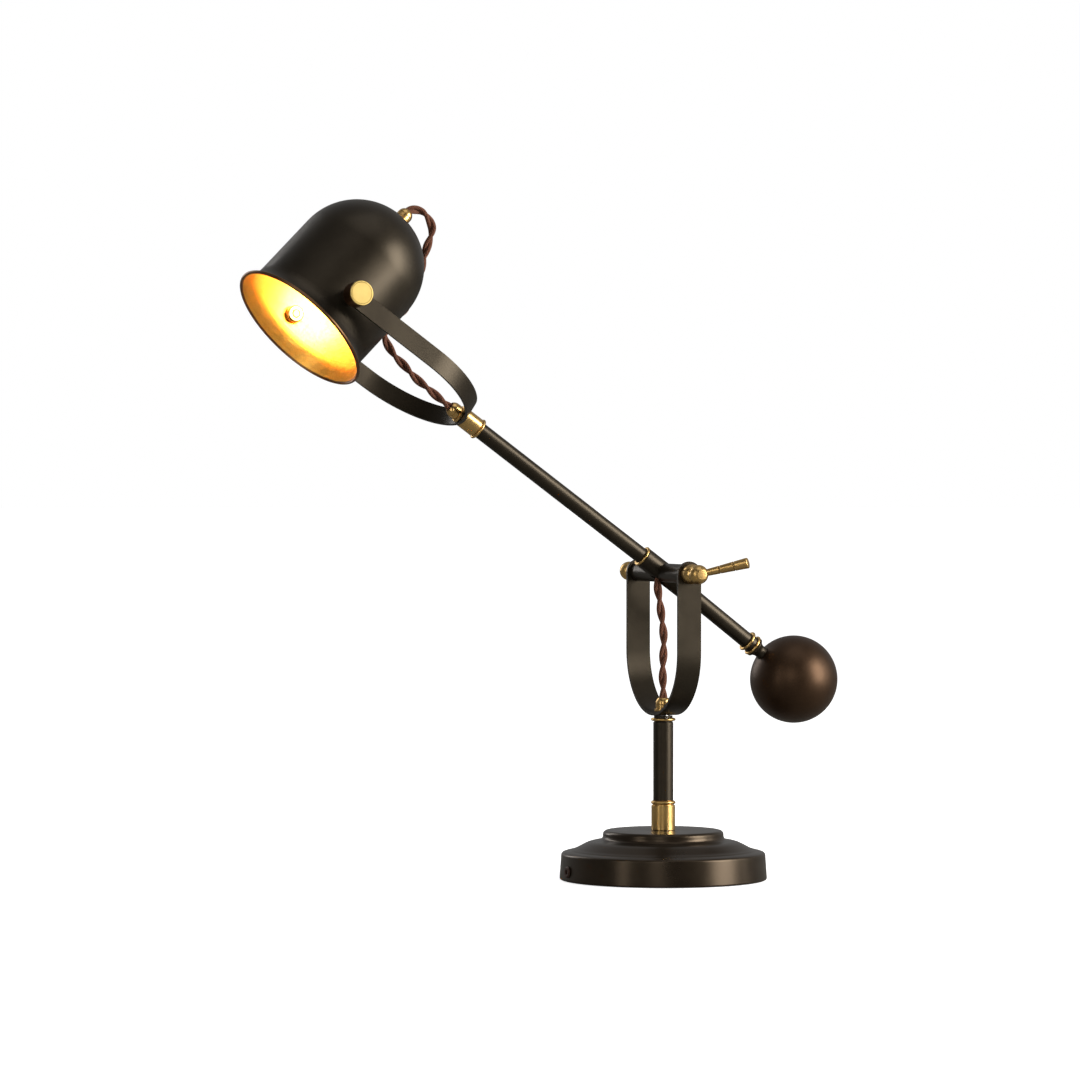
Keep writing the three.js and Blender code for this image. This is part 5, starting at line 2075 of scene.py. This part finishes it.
@dataclass
class HiddenStock(Maker):
    """CAD pieces that keep their shape and only take a finish."""

    def build(self) -> None:
        """Give each kept node its material."""
        steel_parts = (
            "base_washer",
            "base_nut",
            "base_spreader",
            "base_spacer_tube",
            "stem_pipe",
            "head_pipe",
            "shade_pipe",
            "shade_lock_nut",
        )
        kept = [("base_weight", self.finishes.iron)]
        kept += [(name, self.finishes.steel) for name in steel_parts]
        for name, material in kept:
            node = bpy.data.objects[name]
            if node.material_slots:
                node.material_slots[0].material = material
            else:
                node.data.materials.append(material)
            LOG.info("%s keeps its shape", name)


# --------------------------------------------------------------------------- studio


@dataclass(frozen=True)
class SoftLight:
    """A rectangular light: its bearing to the right of the camera's side, and its place."""

    name: str
    bearing: float
    distance: float
    height: float
    size: tuple[float, float]
    power: float
    tint: Colour = (1.0, 0.97, 0.90)


@dataclass
class Studio:
    """Camera, pale floor, soft lights and surroundings."""

    azimuth: float = -22.5
    distance: float = 4000.0
    height: float = 351.2
    pitch: float = 0.97
    shift_right: float = -102.8
    frame_width: float = 900.0
    sensor: float = 36.0
    white: Colour = (1.0, 1.0, 1.0)

    @property
    def right(self) -> Vector:
        """The way to the right, seen from the camera."""
        a = math.radians(self.azimuth)
        return Vector((math.cos(a), math.sin(a), 0))

    @property
    def front(self) -> Vector:
        """The way from the lamp to the camera's side."""
        a = math.radians(self.azimuth)
        return Vector((math.sin(a), -math.cos(a), 0))

    def camera(self) -> None:
        """Stand the camera at its viewing angle."""
        ahead = -self.front
        data = bpy.data.cameras.new("camera")
        data.sensor_width = self.sensor
        data.lens = self.distance * self.sensor / self.frame_width
        data.clip_start, data.clip_end = 0.1, 200.0
        camera = bpy.data.objects.new("camera", data)
        bpy.context.collection.objects.link(camera)
        spot = (self.front * self.distance + self.right * self.shift_right) * MM
        camera.location = (spot.x, spot.y, self.height * MM)
        down = math.radians(self.pitch)
        look = ahead * math.cos(down) - Vector((0, 0, math.sin(down)))
        camera.rotation_euler = look.to_track_quat("-Z", "Y").to_euler()
        bpy.context.scene.camera = camera

    def floor(self) -> None:
        """Lay the pale floor, which brightens into the white surroundings."""
        Bench.clear()
        bpy.ops.mesh.primitive_circle_add(
            vertices=96, radius=30.0, fill_type="NGON", location=(0, 0, 0)
        )
        floor = bpy.context.object
        floor.name = "floor"
        surface = Surface("pale_floor")
        surface.set(Roughness=0.9, Specular_IOR_Level=0.0)
        surface.set(Emission_Color=(*self.white, 1.0))
        place = add_node(surface.tree, "ShaderNodeTexCoord")
        reach = add_node(surface.tree, "ShaderNodeVectorMath", operation="LENGTH")
        surface.tree.links.new(place.outputs["Object"], reach.inputs[0])
        glow = spread(surface.tree, reach.outputs["Value"], 0.08, 0.4, 0.78, 1.0)
        path = add_node(surface.tree, "ShaderNodeLightPath")
        seen = spread(surface.tree, path.outputs["Is Camera Ray"], 0.0, 1.0, 0.04, 1.0)
        lit = math_node(surface.tree, "MULTIPLY", glow, seen)
        surface.link(lit, "Emission Strength")
        tone = surface.blend(path.outputs["Is Camera Ray"], (0.22, 0.22, 0.21), (0.90, 0.90, 0.90))
        surface.link(tone, "Base Color")
        floor.data.materials.append(surface.material)

    def hang(self, plan: SoftLight) -> None:
        """Hang one light so that it faces the lamp.

        Args:
            plan: The light, with lengths in metres, its bearing in degrees and watts.
        """
        turn = math.radians(plan.bearing)
        out = self.right * math.sin(turn) + self.front * math.cos(turn)
        place = out * plan.distance + Vector((0, 0, plan.height))
        data = bpy.data.lights.new(plan.name, "AREA")
        data.shape = "RECTANGLE"
        data.size, data.size_y = plan.size
        data.energy = plan.power
        data.color = plan.tint
        light = bpy.data.objects.new(plan.name, data)
        bpy.context.collection.objects.link(light)
        light.location = place
        lamp_middle = Vector((-0.08, 0, 0.28))
        light.rotation_euler = (lamp_middle - place).to_track_quat("-Z", "Y").to_euler()

    def surroundings(self) -> None:
        """White walls behind and beside, a dim room on the camera's side."""
        world = bpy.data.worlds.new("studio")
        bpy.context.scene.world = world
        world.use_nodes = True
        tree = world.node_tree
        tree.nodes.clear()
        place = add_node(tree, "ShaderNodeTexCoord")
        facing = add_node(tree, "ShaderNodeVectorMath", operation="DOT_PRODUCT")
        facing.inputs[1].default_value = self.front
        tree.links.new(place.outputs["Generated"], facing.inputs[0])
        dim = spread(tree, facing.outputs["Value"], -0.6, 0.6, 0.28, 0.05)
        path = add_node(tree, "ShaderNodeLightPath")
        seen = math_node(tree, "MAXIMUM", dim, path.outputs["Is Camera Ray"])
        shade = add_node(tree, "ShaderNodeBackground", Color=(*self.white, 1.0))
        tree.links.new(seen, shade.inputs["Strength"])
        sink = add_node(tree, "ShaderNodeOutputWorld")
        tree.links.new(shade.outputs[0], sink.inputs[0])

    def build(self) -> None:
        """Set up the whole studio."""
        self.floor()
        self.surroundings()
        for plan in (
            SoftLight("key", 70, 2.2, 0.85, (1.15, 1.7), 72.0),
            SoftLight("front", -8, 2.4, 0.8, (0.6, 1.2), 6.0),
            SoftLight("strip_left", -46, 2.2, 0.7, (0.35, 1.5), 6.0),
            SoftLight("strip_right", 100, 2.0, 0.7, (0.3, 1.4), 4.0),
            SoftLight("top", 20, 0.5, 2.2, (1.4, 1.4), 5.0, self.white),
            SoftLight("back_left", -135, 2.2, 1.0, (0.5, 1.4), 9.0, self.white),
        ):
            self.hang(plan)


def main() -> None:
    """Build the studio, the cords and then each group of the lamp."""
    logging.basicConfig(level=logging.INFO, format="%(name)s: %(message)s")
    bpy.context.scene.view_settings.view_transform = "Standard"
    studio = Studio()
    studio.camera()
    finishes = Finishes(Effects())
    groups: list[Callable[[], None]] = [
        TwistedCord(finishes).build,
        RoundBase(finishes).build,
        StemFork(finishes).build,
        SwingArm(finishes).build,
        LampHead(finishes).build,
        HiddenStock(finishes).build,
        studio.build,
    ]
    for group in groups:
        group()


if __name__ == "__main__":
    main()
